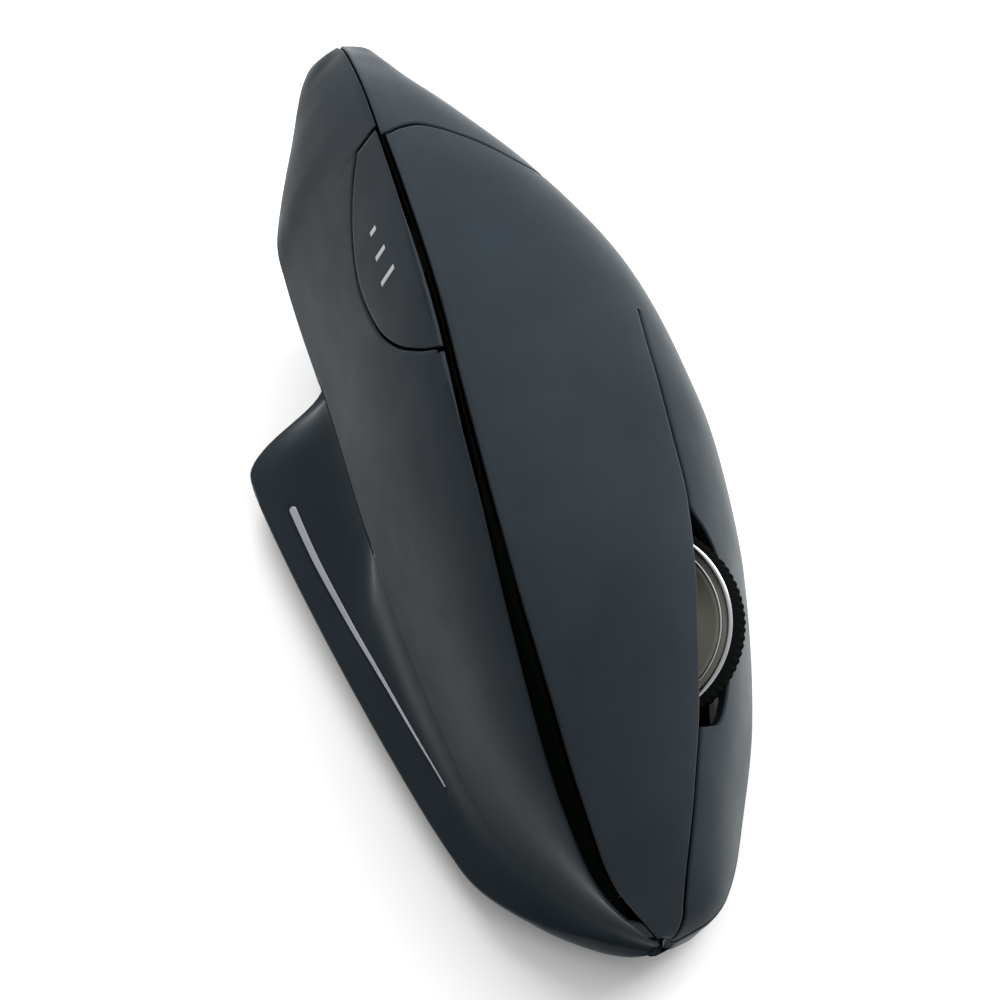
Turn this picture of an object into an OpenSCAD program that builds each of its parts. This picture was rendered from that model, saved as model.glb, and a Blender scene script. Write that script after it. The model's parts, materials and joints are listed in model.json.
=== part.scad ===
// Left-handed vertical ergonomic mouse: a lofted body cut into moulded shells, with
// sprung keys, a rocking scroll wheel and the boards, switches and cell that it holds.
// X points to the thumb side, Y to the nose and Z up; the origin is on the desk.

/* [Body] */
// Length from the rear tip to the nose
body_l = 110.4; // [106:0.2:116]
// Width from the finger side to the edge of the thumb flange
body_w = 52.6; // [51:0.2:55]
// Height of the ridge above the desk
body_h = 58; // [56:0.5:62]
// Thickness of the moulded shells
wall = 1.8; // [1.5:0.1:2]
// Gap along the seams between shells
seam = 0.4; // [0.3:0.05:0.5]
// Gap round the tab beside the ridge
tab_gap = 0.55; // [0.5:0.05:0.7]
// Inset of the base line under the flange
flange_lip = 3; // [2.5:0.25:4]
// Length over which the shells thin out towards the nose and the rear tip
taper_l = 16; // [14:0.5:20]

/* [Ridge and accent] */
// Depth of the black ridge strip below the shells
trim_sink = 0.35; // [0.2:0.05:0.6]
// Thickness of the black ridge strip
trim_t = 1; // [0.8:0.1:1.2]
// Width of the silver line at its rear end
accent_w = 1; // [0.8:0.1:1.4]
// Height of the silver line
accent_t = 0.4; // [0.3:0.05:0.6]
// Gap between the silver line and the shell that carries it
accent_seat = 0.15; // [0.1:0.05:0.3]

/* [Base] */
// Thickness of the flat base
base_t = 2; // [1.8:0.1:2.4]
// Thickness of the glide feet
foot_h = 0.6; // [0.4:0.1:0.8]
// Width of a glide foot
foot_w = 7; // [6:0.5:9]
// Length of a glide foot
foot_l = 16; // [14:0.5:18]

/* [Scroll wheel] */
// Diameter of the wheel over its tyre
wheel_d = 25; // [24:0.5:26]
// Width of the wheel
wheel_w = 6; // [5.5:0.25:6.5]
// Height of the wheel above the keys
wheel_out = 3; // [2.5:0.25:4]
// Lean of the wheel towards the desk, in degrees
wheel_lean = 12; // [0:1:16]
// Thickness of the rubber tyre
tyre_t = 2; // [1.5:0.25:2.5]
// Free width beside the wheel in its slot
slot_gap = 1.4; // [1.2:0.1:1.6]
// Number of ribs around the tyre
rib_n = 48; // [24:4:48]
// Depth of the grooves between the ribs
rib_h = 0.5; // [0.3:0.1:0.8]
// Diameter of the axle
axle_d = 2.4; // [2:0.1:3]
// Thickness of a cheek of the rocker
cheek_t = 1.4; // [1.2:0.1:1.6]
// Distance from the rocker's pin to the axle
rocker_l = 19; // [18:0.25:20]
// Diameter of the rocker's pin
pin_d = 2; // [1.6:0.1:2.4]
// Thickness of the encoder
encoder_t = 3; // [2.4:0.2:3.4]

/* [Switches] */
// Length of a key's switch
switch_l = 12.8; // [12:0.2:13.4]
// Width of a key's switch
switch_w = 5.8; // [5.4:0.1:6.2]
// Height of a key's switch
switch_h = 6.5; // [6:0.1:7]
// Diameter of the plunger of a key's switch
plunger_d = 1.9; // [1.6:0.1:2.2]
// Width of a square switch
tact_w = 6; // [5.6:0.2:6.4]
// Height of a square switch
tact_h = 3.5; // [3:0.1:4]
// Diameter of the plunger of a square switch
tact_d = 3.3; // [3:0.1:3.6]

/* [Boards] */
// Thickness of the circuit boards
board_t = 1.2; // [1:0.1:1.6]
// Thickness of the chassis deck under the key board
deck_t = 1.8; // [1.5:0.1:2]
// Diameter of a screw post
post_d = 6; // [5.5:0.25:6.5]
// Height of a screw post
post_h = 6; // [5:0.5:7]

/* [Battery] */
// Diameter of the cell
cell_d = 10.5; // [9.5:0.1:10.5]
// Length of the cell
cell_l = 44.5; // [43.5:0.5:44.5]
// Free space round the cell
bay_gap = 0.4; // [0.3:0.05:0.6]
// Thickness of the walls of the battery bay
bay_t = 1.2; // [1:0.1:1.4]
// Thickness of a battery contact
contact_t = 0.5; // [0.4:0.05:0.7]

/* [Fasteners and fits] */
// Diameter of the shank of a screw
screw_d = 2.2; // [2:0.1:2.5]
// Diameter of the head of a screw
head_d = 4.4; // [4:0.2:4.8]
// Height of the head of a screw
head_h = 1; // [0.8:0.1:1.2]
// Length of a screw below its head
screw_l = 5; // [4:0.5:5.5]
// Radial clearance of a pin or plunger in its bore
fit = 0.05; // [0.03:0.01:0.08]
// Clearance between pieces that pass each other
clear = 0.3; // [0.25:0.05:0.4]

/* [Hidden] */
$fn = 48;

half_l = body_l / 2;
// Shares of the half width at which the finger side and the flange are widest.
finger_wide = 1.065;
flange_wide = 0.985;
half_w = body_w / (finger_wide + flange_wide);
centre_x = half_w * (finger_wide - flange_wide) / 2;
shell_c = "#33373d";
trim_c = "#08090a";
silver_c = "#a6a8b0";
inner_c = "#4a4d52";

// Guide lines of the body: [station, value], stations from -1 at the rear tip to 1 at the nose.
// Crossways values are shares of the half width and heights are shares of the body height.
ridge_x = [[-1, 0.09], [-0.7, 0.12], [-0.15, 0.215], [0.05, 0.245], [0.42, 0.27], [0.65, 0.26],
    [0.8, 0.225], [0.93, 0.15], [1, 0]];
ridge_z = [[-1, 0.745], [-0.97, 0.8], [-0.9, 0.865], [-0.75, 0.935], [-0.5, 0.99], [-0.2, 1], [0.2, 0.93],
    [0.5, 0.82], [0.76, 0.62], [0.93, 0.42], [1, 0.24]];
finger_x = [[-1, 0.05], [-0.96, -0.07], [-0.88, -0.21], [-0.75, -0.425], [-0.6, -0.65], [-0.35, -0.92],
    [-0.05, -1.05], [0.1, -1.06], [0.26, -1.02], [0.55, -0.84], [0.75, -0.64], [0.9, -0.46], [0.97, -0.31],
    [1, -0.09]];
finger_z = [[-1, 0.72], [-0.9, 0.65], [-0.75, 0.59], [-0.5, 0.5], [-0.2, 0.41], [0.1, 0.31], [0.5, 0.2],
    [0.8, 0.16], [1, 0.2]];
heel_x = [[-1, 0.05], [-0.88, -0.15], [-0.75, -0.36], [-0.6, -0.6], [-0.3, -0.89], [0, -0.98], [0.3, -0.92],
    [0.55, -0.77], [0.75, -0.59], [0.9, -0.41], [1, -0.09]];
edge_x = [[-1, 0.2], [-0.96, 0.29], [-0.88, 0.405], [-0.76, 0.575], [-0.68, 0.595], [-0.35, 0.605],
    [0, 0.635], [0.4, 0.59], [0.65, 0.49], [0.83, 0.27], [0.94, 0.08], [1, -0.05]];
edge_z = [[-1, 0.725], [-0.96, 0.69], [-0.86, 0.6], [-0.76, 0.46], [-0.64, 0.4], [-0.4, 0.38], [0, 0.38],
    [0.4, 0.29], [0.75, 0.19], [1, 0.205]];
flange_x = [[-1, 0.2], [-0.86, 0.3], [-0.75, 0.41], [-0.62, 0.46], [-0.55, 0.55], [-0.47, 0.855],
    [-0.42, 0.97], [-0.35, 0.985], [0, 0.905], [0.4, 0.77], [0.64, 0.66], [0.72, 0.585], [0.83, 0.395],
    [0.93, 0.15], [1, -0.06]];
flange_z = [[-1, 0.34], [-0.86, 0.14], [-0.7, 0.1], [-0.3, 0.1], [0.65, 0.09], [0.83, 0.1], [1, 0.16]];
low_z = [[-1, 0.64], [-0.96, 0.42], [-0.88, 0.15], [-0.82, 0.04], [-0.74, 0], [0.8, 0], [0.9, 0.03],
    [0.96, 0.08], [1, 0.16]];
// Slopes of the finger side at the ridge and at its widest line, in degrees, and how far the scoop tucks in.
lean = [[-1, 90], [-0.35, 90], [0, 87], [0.3, 82], [1, 80]];
crown = [[-1, 48], [-0.8, 40], [-0.5, 26], [0, 15], [1, 15]];
tuck = [[-1, 0.2], [-0.75, 0.8], [-0.6, 1], [-0.12, 1], [0.08, 0], [1, 0]];

// Shape of each stretch of a section: handle lengths as shares of its chord, and its end slopes.
finger_full = 0.45;
side_full = 0.62;
lower_full = 0.5;
heel_full = 0.3;
thumb_full = 0.35;
thumb_slope = -52;
edge_slope = -78;
tuck_slope = -44;
scoop_full = [0.4, 0.45];
flange_slope = 166;
flange_round = [0.6, -1];
sole_round = [1.5, 0.2];
flange_min = 1;

// Lines on the body, in the section parameter: 0 ridge, 1 widest finger line, 2 heel, 3 sole,
// -1 thumb edge, -2 flange tip, -3 sole.
rear_s = -0.645;
hinge_s = -0.165;
nose_s = 0.8;
skirt_t = 1.1;
slit_t = [[-0.2, 0.6], [-0.08, 0.555], [0.03, 0.535], [0.14, 0.535], [0.26, 0.55], [0.4, 0.545], [0.53, 0.525],
    [0.7, 0.52], [0.9, 0.47], [0.95, 0.46], [0.972, 0.49], [0.985, 0.6], [0.995, 0.85]];
slot_s = [0.26, 0.68];
slot_ramp = 0.03;
dpi_t = [[-0.65, 0.12], [-0.56, 0.24], [-0.46, 0.33], [-0.37, 0.36], [-0.25, 0.31], [-0.17, 0.21],
    [-0.11, 0.085], [-0.09, 0.03]];
dpi_end_s = -0.09;
accent_t_line = [[-0.3, 1.86], [-0.12, 1.86], [0, 1.835], [0.17, 1.772], [0.34, 1.69], [0.48, 1.59]];
accent_s = [-0.29, 0.48];
// Edges of the strip, off the ridge towards the finger side and towards the thumb side.
trim_finger = [[-0.65, 0.4], [-0.45, 0.85], [-0.2, 1.35], [0, 1.2], [0.2, 0.95], [0.45, 0.75], [0.65, 0.8],
    [0.85, 0.35], [0.94, 0.05], [1, 0.6]];
trim_thumb = [[-0.65, 0.1], [-0.45, -0.5], [-0.2, -1], [0, -0.9], [0.2, -0.4], [0.45, 0.6], [0.65, 1.3],
    [0.85, 1.95], [0.94, 1.9], [1, 0.5]];

// Smooth curve through the knots of a guide line.
function knot_slope(k, i) =
    let (a = max(i - 1, 0), b = min(i + 1, len(k) - 1))
    (k[b][1] - k[a][1]) / (k[b][0] - k[a][0]);
function knot_span(k, s, i = 0) = i >= len(k) - 2 || s < k[i + 1][0] ? i : knot_span(k, s, i + 1);
function guide(k, s) =
    let (
        v = max(k[0][0], min(k[len(k) - 1][0], s)),
        i = knot_span(k, v),
        h = k[i + 1][0] - k[i][0],
        u = (v - k[i][0]) / h
    )
    (2 * u ^ 3 - 3 * u ^ 2 + 1) * k[i][1] + (u ^ 3 - 2 * u ^ 2 + u) * h * knot_slope(k, i)
    + (3 * u ^ 2 - 2 * u ^ 3) * k[i + 1][1] + (u ^ 3 - u ^ 2) * h * knot_slope(k, i + 1);

function polar(a) = [cos(a), sin(a)];
function bez(c, u) =
    (1 - u) ^ 3 * c[0] + 3 * (1 - u) ^ 2 * u * c[1] + 3 * (1 - u) * u ^ 2 * c[2] + u ^ 3 * c[3];
function unit(v) = v / norm(v);

// One cross-section of the body: its six stretches, each as the four points of a curve.
function station(s) =
    let (
        top = [half_w * guide(ridge_x, s), body_h * guide(ridge_z, s)],
        wide = [half_w * guide(finger_x, s), body_h * guide(finger_z, s)],
        low = foot_h + (body_h - foot_h) * guide(low_z, s),
        heel = [half_w * guide(heel_x, s), low],
        edge = [half_w * guide(edge_x, s), body_h * guide(edge_z, s)],
        tip = [half_w * guide(flange_x, s), max(body_h * guide(flange_z, s), low + flange_min)],
        sole = [tip.x - flange_lip * min(1, 5 * (1 - s)), low],
        rise = top.y - wide.y,
        drop = wide.y - low,
        side = polar(guide(lean, s)),
        finger_l = finger_full * norm(top - wide),
        thumb_l = thumb_full * norm(top - edge),
        scoop_l = scoop_full * norm(edge - tip),
        tuck_a = edge_slope + tuck_slope * guide(tuck, s)
    )
    [
        [top, top + finger_l * polar(180 + guide(crown, s)), wide + side_full * rise * side, wide],
        [wide, wide - lower_full * drop * side, heel + [0, heel_full * drop], heel],
        [heel, (2 * heel + sole) / 3, (heel + 2 * sole) / 3, sole],
        [top, top + thumb_l * polar(thumb_slope), edge - thumb_l * polar(edge_slope), edge],
        [edge, edge + scoop_l[0] * polar(tuck_a), tip + scoop_l[1] * polar(flange_slope), tip],
        [tip, tip + flange_round, sole + sole_round, sole]
    ];
function wrap_t(t) = t > 3 ? t - 6 : t < -3 ? t + 6 : t;
function on(st, t) =
    t > 2 ? bez(st[2], t - 2)
    : t > 1 ? bez(st[1], t - 1)
    : t >= 0 ? bez(st[0], t)
    : t >= -1 ? bez(st[3], -t)
    : t >= -2 ? bez(st[4], -t - 1)
    : bez(st[5], -t - 2);
function lift(p, s) = [p.x + centre_x, s * half_l, p.y];
function at(s, t) = lift(on(station(s), t), s);

// Section parameter that lies a distance along the section from the parameter t.
probe_t = 0.02;
function along_t(s, t, mm) =
    let (st = station(s), step = mm < 0 ? -probe_t : probe_t)
    t + step * abs(mm) / norm(on(st, t + step) - on(st, t));

// Row of points below the surface at one station, offset along the surface normal.
diff_s = 0.004;
diff_t = 0.09;
function sunk_row(s, ts, depth) =
    let (
        st = station(s),
        sa = max(-1, s - diff_s),
        sb = min(1, s + diff_s),
        st_a = station(sa),
        st_b = station(sb)
    )
    [for (t = ts)
        let (
            lengthways = lift(on(st_b, t), sb) - lift(on(st_a, t), sa),
            across = on(st, wrap_t(t + diff_t)) - on(st, wrap_t(t - diff_t)),
            inward = unit(cross([across.x, 0, across.y], lengthways)),
            deep = lift(on(st, t), s) + depth * inward
        )
        [deep.x, max(-half_l, min(half_l, deep.y)), deep.z]
    ];
function sunk(s, t, depth) = sunk_row(s, [t], depth)[0];
function normal_at(s, t) = sunk(s, t, -1) - at(s, t);

// Stations of the loft, closer together towards both ends, with extra ones where a piece starts or stops.
loft_n = 44;
least_step = 0.006;
jump_s = 0.002;
loft_s = [for (i = [0:loft_n]) -cos(180 * i / loft_n)];
function sorted(v) =
    len(v) < 2 ? v
    : let (p = v[floor(len(v) / 2)])
    concat(sorted([for (x = v) if (x < p) x]), [p], sorted([for (x = v) if (x > p) x]));
function rows(a, b, extra = []) =
    let (
        fixed = concat([a, b], [for (e = extra) if (e > a && e < b) e]),
        free = [for (s = loft_s) if (s > a && s < b && min([for (f = fixed) abs(f - s)]) > least_step) s]
    )
    sorted(concat(fixed, free));
function spread(a, b, n) = [for (i = [0:n]) a + (b - a) * i / n];

// Shell over a grid of stations and section parameters: outer skin, inner skin and the four edges.
function taper(s) = max(0.2, min(1, (1 - abs(s)) * half_l / taper_l));
function quad(a, b, c, d) = [[a, b, c], [a, c, d]];
function sheet_faces(n, m) =
    let (k = n * m)
    concat(
        [for (i = [0:n - 2], j = [0:m - 2]) each
            quad(i * m + j, i * m + j + 1, (i + 1) * m + j + 1, (i + 1) * m + j)],
        [for (i = [0:n - 2], j = [0:m - 2]) each
            quad(k + i * m + j, k + (i + 1) * m + j, k + (i + 1) * m + j + 1, k + i * m + j + 1)],
        [for (i = [0:n - 2]) each quad(i * m, (i + 1) * m, k + (i + 1) * m, k + i * m)],
        [for (i = [1:n - 1]) each
            quad(i * m + m - 1, (i - 1) * m + m - 1, k + (i - 1) * m + m - 1, k + i * m + m - 1)],
        [for (j = [1:m - 1]) each quad(j, j - 1, k + j - 1, k + j)],
        [for (j = [0:m - 2]) each
            quad((n - 1) * m + j, (n - 1) * m + j + 1, k + (n - 1) * m + j + 1, k + (n - 1) * m + j)]
    );
module sheet(ss, cols, sink = 0, thick = wall) {
    outer = [for (s = ss) each sunk_row(s, cols(s), sink)];
    inner = [for (s = ss) each sunk_row(s, cols(s), sink + thick * taper(s))];
    polyhedron(concat(outer, inner), sheet_faces(len(ss), len(cols(ss[0]))), convexity = 8);
}

// Edges of the shells across a section.
seam_s = seam / half_l;
function trim_lo(s) = along_t(s, 0, -guide(trim_thumb, s));
function trim_hi(s) = along_t(s, 0, guide(trim_finger, s));
tab_least_t = 0.05;
function dpi_lo(s) = min(-guide(dpi_t, s), along_t(s, trim_lo(s), -seam) - tab_least_t);
dpi_stop_s = dpi_end_s + tab_gap / half_l;
function in_dpi(s) = s >= rear_s && s <= dpi_stop_s;
function thumb_hi(s) =
    in_dpi(s) ? along_t(s, dpi_lo(s), -tab_gap)
    : s < rear_s ? along_t(s, 0, -seam / 2)
    : along_t(s, trim_lo(s), -seam);
function key_lo(s) = along_t(s, trim_hi(s), seam);
function slit_hi(s) = along_t(s, guide(slit_t, s), -seam / 2);
slot_w = wheel_w / cos(wheel_lean) + wall * tan(wheel_lean) + 2 * slot_gap;
function slot_open(s) = max(0, min(1, (s - slot_s[0]) / slot_ramp, (slot_s[1] - s) / slot_ramp));
function slit_lo(s) = along_t(s, guide(slit_t, s), seam / 2 + (slot_w - seam / 2) * slot_open(s));
function key_hi(s) = along_t(s, skirt_t, -seam / 2);
function skirt_lo(s) = along_t(s, skirt_t, seam / 2);
function skirt_hi(s) = s > nose_s ? along_t(s, 3, -seam) : 2;

thumb_t = [-3, -2.75, -2.5, -2.25, -2, -1.88, -1.76, -1.64, -1.52, -1.4, -1.28, -1.17, -1.08, -1, -0.92,
    -0.84, -0.74, -0.62, -0.5];
thumb_top_n = 4;
module thumb_cover() {
    color(shell_c)
        sheet(rows(-1, 1, [rear_s - jump_s, rear_s, dpi_end_s, dpi_stop_s, dpi_stop_s + jump_s]),
            function(s) concat(thumb_t, [for (i = [1:thumb_top_n])
                thumb_t[len(thumb_t) - 1] + (thumb_hi(s) - thumb_t[len(thumb_t) - 1]) * i / thumb_top_n]));
}

// Free edge of the rear cover and of the base plate at the sole and at the nose.
sole_gap = 3 * seam;
rear_n = 20;
module rear_cover() {
    color(shell_c)
        sheet(rows(-1, rear_s - seam_s / 2),
            function(s) spread(along_t(s, 0, seam / 2), along_t(s, 3, -sole_gap), rear_n));
}

panel_n = 14;
module finger_panel() {
    color(shell_c)
        sheet(rows(rear_s + seam_s / 2, hinge_s - seam_s / 2),
            function(s) spread(key_lo(s), key_hi(s), panel_n));
}

key_n = 8;
key_end_s = 0.995;
module primary_button() {
    color(shell_c)
        sheet(rows(hinge_s + seam_s / 2, key_end_s), function(s) spread(key_lo(s), slit_hi(s), key_n));
}

module secondary_button() {
    color(shell_c)
        sheet(rows(hinge_s + seam_s / 2, key_end_s,
                [slot_s[0], slot_s[0] + slot_ramp, slot_s[1] - slot_ramp, slot_s[1]]),
            function(s) spread(slit_lo(s), key_hi(s), key_n));
}

dpi_n = 7;
module dpi_button() {
    color(shell_c)
        sheet(rows(rear_s + seam_s, dpi_end_s),
            function(s) spread(dpi_lo(s), along_t(s, trim_lo(s), -seam), dpi_n));
}

trim_n = 4;
module ridge_trim() {
    color(trim_c)
        sheet(rows(rear_s, key_end_s),
            function(s) spread(trim_lo(s), trim_hi(s), trim_n), trim_sink, trim_t);
}

accent_thin = 0.7;
module accent_inlay() {
    color(silver_c)
        sheet(rows(accent_s[0], accent_s[1]),
            function(s) let (w = accent_w * (1 - accent_thin * (s - accent_s[0]) / (accent_s[1] - accent_s[0])))
                [for (i = [-1:1]) along_t(s, -guide(accent_t_line, s), i * w / 2)],
            -accent_seat - accent_t, accent_t);
}

skirt_n = 8;
module lower_skirt() {
    color(shell_c)
        sheet(rows(rear_s + seam_s / 2, key_end_s, [nose_s, nose_s + jump_s]),
            function(s) spread(skirt_lo(s), skirt_hi(s), skirt_n));
}

// Outline of the flat base, set in from the heel and the sole lines.
function plate_x(s, t, inset) =
    let (a = at(s - diff_s, t), b = at(s + diff_s, t))
    at(s, t).x + inset * norm(b - a) / (b.y - a.y);
plate_inset = 2.2;
function finger_side(y) = plate_x(y / half_l, 2, wall + plate_inset / 2);
function thumb_side(y) = plate_x(y / half_l, -3, -plate_inset);
module plate_outline() {
    ss = rows(rear_s + seam_s, nose_s - sole_gap / half_l);
    back = [for (i = [len(ss) - 1:-1:0]) ss[i]];
    polygon(concat(
        [for (s = ss) [finger_side(s * half_l), s * half_l]],
        [for (s = back) [thumb_side(s * half_l), s * half_l]]
    ));
}

// Axes of the keys at the wheel: x across to the ridge, y along the slot, z out of the keys.
wheel_s = (slot_s[0] + slot_s[1]) / 2;
slot_shift = 2.5 * seam;
function slot_mid(s) = along_t(s, guide(slit_t, s), slot_w / 2 + slot_shift);
key_z = normal_at(wheel_s, slot_mid(wheel_s));
slot_run = at(slot_s[1], slot_mid(slot_s[1])) - at(slot_s[0], slot_mid(slot_s[0]));
key_y = unit(slot_run - (slot_run * key_z) * key_z);
key_x = cross(key_y, key_z);
// Axes of the leaning wheel, and its centre: x along its axle, y along the slot.
wheel_x = cos(wheel_lean) * key_x + sin(wheel_lean) * key_z;
wheel_z = cos(wheel_lean) * key_z - sin(wheel_lean) * key_x;
wheel_o = sunk(wheel_s, slot_mid(wheel_s), wall / 2) - (wheel_d / 2 - wheel_out - wall / 2) * wheel_z;
function to_keys(p) = [(p - wheel_o) * key_x, (p - wheel_o) * key_y, (p - wheel_o) * key_z];
seek_n = 8;
function under_key(x, y, s, t, n = seek_n) =
    let (q = to_keys(sunk(s, t, wall)))
    n == 0 ? concat(q, [s, t]) : under_key(x, y, s + 0.7 * (y - q.y) / half_l, t - (x - q.x) / body_w, n - 1);

module in_frame(o, x, y, z) {
    multmatrix([
        [x.x, y.x, z.x, o.x],
        [x.y, y.y, z.y, o.y],
        [x.z, y.z, z.z, o.z]
    ])
        children();
}
module in_keys() {
    in_frame(wheel_o, key_x, key_y, key_z) children();
}
module in_wheel() {
    in_frame(wheel_o, wheel_x, key_y, wheel_z) children();
}
module block(size) {
    translate([-size.x / 2, -size.y / 2, 0]) cube(size);
}
module rod(d, l) {
    rotate([0, 90, 0]) cylinder(d = d, h = l, center = true);
}
module ring(d_out, d_in, w) {
    rotate([0, 90, 0])
        difference() {
            cylinder(d = d_out, h = w, center = true);
            cylinder(d = d_in, h = w + 1, center = true);
        }
}

// Scroll wheel, about its own axle.
rim_t = 0.6;
rim_w = 1.6;
hub_d = wheel_d - 2 * tyre_t;
web_t = 2;
boss_t = 1.3;
boss_d = axle_d + 2 * boss_t;
cheek_x = wheel_w / 2 + 2 * clear;
cheek_out = cheek_x + cheek_t;
axle_l = 2 * cheek_out + encoder_t;
module wheel_tyre() {
    color("#141516")
        in_wheel()
        difference() {
            ring(wheel_d, hub_d + 2 * fit, wheel_w);
            for (i = [0:rib_n - 1])
                rotate([360 * i / rib_n, 0, 0])
                    translate([0, 0, wheel_d / 2 - rib_h])
                    block([wheel_w + 1, PI * wheel_d / rib_n / 3, rib_h + 1]);
        }
}
module wheel_hub() {
    color("#5b4a40")
        in_wheel()
        difference() {
            union() {
                ring(hub_d, hub_d - 2 * rim_w - 2, wheel_w - 2 * rim_t);
                rod(hub_d - 2, web_t);
                rod(boss_d, wheel_w - 2 * rim_t);
            }
            rod(axle_d + 2 * fit, wheel_w);
        }
}
module wheel_rims() {
    color("#d8dadd")
        in_wheel()
        for (side = [-1, 1])
            translate([side * (wheel_w - rim_t) / 2, 0, 0])
                ring(hub_d, hub_d - 2 * rim_w, rim_t - 2 * fit);
}
module wheel_axle() {
    color("#b9bcc0")
        in_wheel()
        translate([encoder_t / 2, 0, 0])
        rod(axle_d, axle_l);
}

// Rocker that carries the wheel, hinged on a pin behind it.
pivot_z = -2;
bar_l = 5;
cheek_h = 6;
bar_w = 2 * cheek_out;
tab_y = -9.5;
tab_w = 4;
tab_t = 1.6;
module wheel_rocker() {
    color(inner_c)
        in_wheel()
        difference() {
            union() {
                for (side = [-1, 1]) {
                    translate([side * (cheek_x + cheek_t / 2), -rocker_l / 2, pivot_z - cheek_h / 2])
                        block([cheek_t, rocker_l, cheek_h]);
                    translate([side * (cheek_x + cheek_t / 2), 0, 0])
                        rod(2 * cheek_h - axle_d, cheek_t);
                }
                translate([0, -rocker_l, pivot_z - cheek_h / 2])
                    block([bar_w, bar_l, cheek_h]);
                translate([cheek_x + tab_l / 2, tab_y, tab_z])
                    block([tab_l, tab_w, tab_t]);
            }
            rod(axle_d + 2 * fit, bar_w + 1);
            translate([0, -rocker_l, pivot_z]) rod(pin_d + 2 * fit, bar_w + 1);
        }
}
ear_t = 1.6;
ear_x = cheek_out + clear;
pin_l = 2 * (ear_x + ear_t);
module rocker_pin() {
    color("#b9bcc0")
        in_wheel()
        translate([0, -rocker_l, pivot_z])
        rod(pin_d, pin_l);
}
encoder_h = 7;
module encoder() {
    color("#26282b")
        in_wheel()
        translate([cheek_out + fit + encoder_t / 2, 0, 0])
        difference() {
            translate([0, 0, -encoder_h / 2]) block([encoder_t, encoder_h, encoder_h]);
            rod(axle_d + 2 * fit, encoder_t + 1);
        }
}

// Places of the key switches and the levels of the board and the deck, along the axes of the keys.
sway = cheek_h * sin(wheel_lean);
slot_lo = -(ear_x + ear_t + sway);
slot_hi = cheek_out + encoder_t + sway;
switch_y = 1;
plunger_y = 3;
key_gap = 0.4;
key_way = 0.9;
margin = 0.8;
primary_x = slot_hi + margin + switch_w / 2;
secondary_x = slot_lo - margin - switch_w / 2;
primary_t = 0.3;
secondary_t = 0.75;
function ceiling(x, y, w, l, t) = min([for (dx = [-1, 1], dy = [-1, 1])
    under_key(x + dx * w / 2, y + dy * l / 2, wheel_s, t).z]);
primary_top = ceiling(primary_x, switch_y + plunger_y, plunger_d, plunger_d, primary_t) - key_gap;
secondary_top = ceiling(secondary_x, switch_y + plunger_y, plunger_d, plunger_d, secondary_t) - key_gap;
board_z = min(
    ceiling(primary_x, switch_y, switch_w, switch_l, primary_t),
    ceiling(secondary_x, switch_y, switch_w, switch_l, secondary_t)
) - key_way - switch_h;
deck_z = board_z - board_t - deck_t;
tact_out = 0.5;
middle_x = slot_hi + margin + tact_w / 2;
tab_l = middle_x + tab_w / 2 - cheek_x;
tab_z = (board_z + tact_h + tact_out + clear) * cos(wheel_lean) - (middle_x - tact_d / 2) * sin(wheel_lean);
board_front = switch_y + switch_l / 2 + margin;
board_rear = -rocker_l - bar_l;
board_lo = secondary_x - switch_w / 2 - margin;
board_hi = primary_x + switch_w / 2 + margin;
board_nip = 6;
module key_outline() {
    difference() {
        polygon([
            [board_lo, board_front], [board_lo, switch_y - switch_l / 2 - margin],
            [slot_lo - margin, board_rear], [slot_hi + margin, board_rear],
            [board_hi, tab_y - tact_w], [board_hi, board_front - board_nip],
            [board_hi - board_nip, board_front]
        ]);
        translate([slot_lo, board_rear + bar_l / 2 - margin])
            square([slot_hi - slot_lo, wheel_d / 2 + rocker_l + bar_l / 2 + 2 * margin]);
    }
}
module key_board() {
    color("#1f5b3a")
        in_keys()
        translate([0, 0, board_z - board_t + fit])
        linear_extrude(board_t - fit)
        key_outline();
}

// Chassis: the deck under the key board, the ears of the rocker's pin and three legs with screw posts.
base_top = foot_h + base_t;
leg_n = 24;
leg_d = 3.4;
post_cap = 1;
embed = 0.2;
// Each leg: its place on the deck, how far over the base its foot stands off, and the share of the way
// down that it keeps to the plane of the deck.
legs = [
    [[board_lo + 5, 3.5], [0.4, 6.7], 0],
    [[board_lo + 4, -7], [-0.4, -0.6], 1],
    [[board_hi - 4, 2], [5.4, 0.5], 0]
];
function leg_foot(l) =
    let (
        p = wheel_o + l[0].x * key_x + l[0].y * key_y + deck_z * key_z,
        run = l[2] * (p.z - base_top - post_h) / key_x.z
    )
    [p.x - run * key_x.x + l[1].x, p.y - run * key_x.y + l[1].y];
module leg(deck_at, foot_at) {
    hull() {
        in_keys()
            translate([deck_at.x, deck_at.y, deck_z + embed])
            cylinder(d = leg_d, h = deck_t - 2 * embed, $fn = leg_n);
        translate([foot_at.x, foot_at.y, base_top + post_h - post_cap + embed])
            cylinder(d = leg_d, h = post_cap - 2 * embed, $fn = leg_n);
    }
    translate([foot_at.x, foot_at.y, base_top])
        difference() {
            cylinder(d = post_d, h = post_h);
            translate([0, 0, -1]) cylinder(d = screw_d + 2 * fit, h = post_h - post_cap + 1);
        }
}
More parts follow.
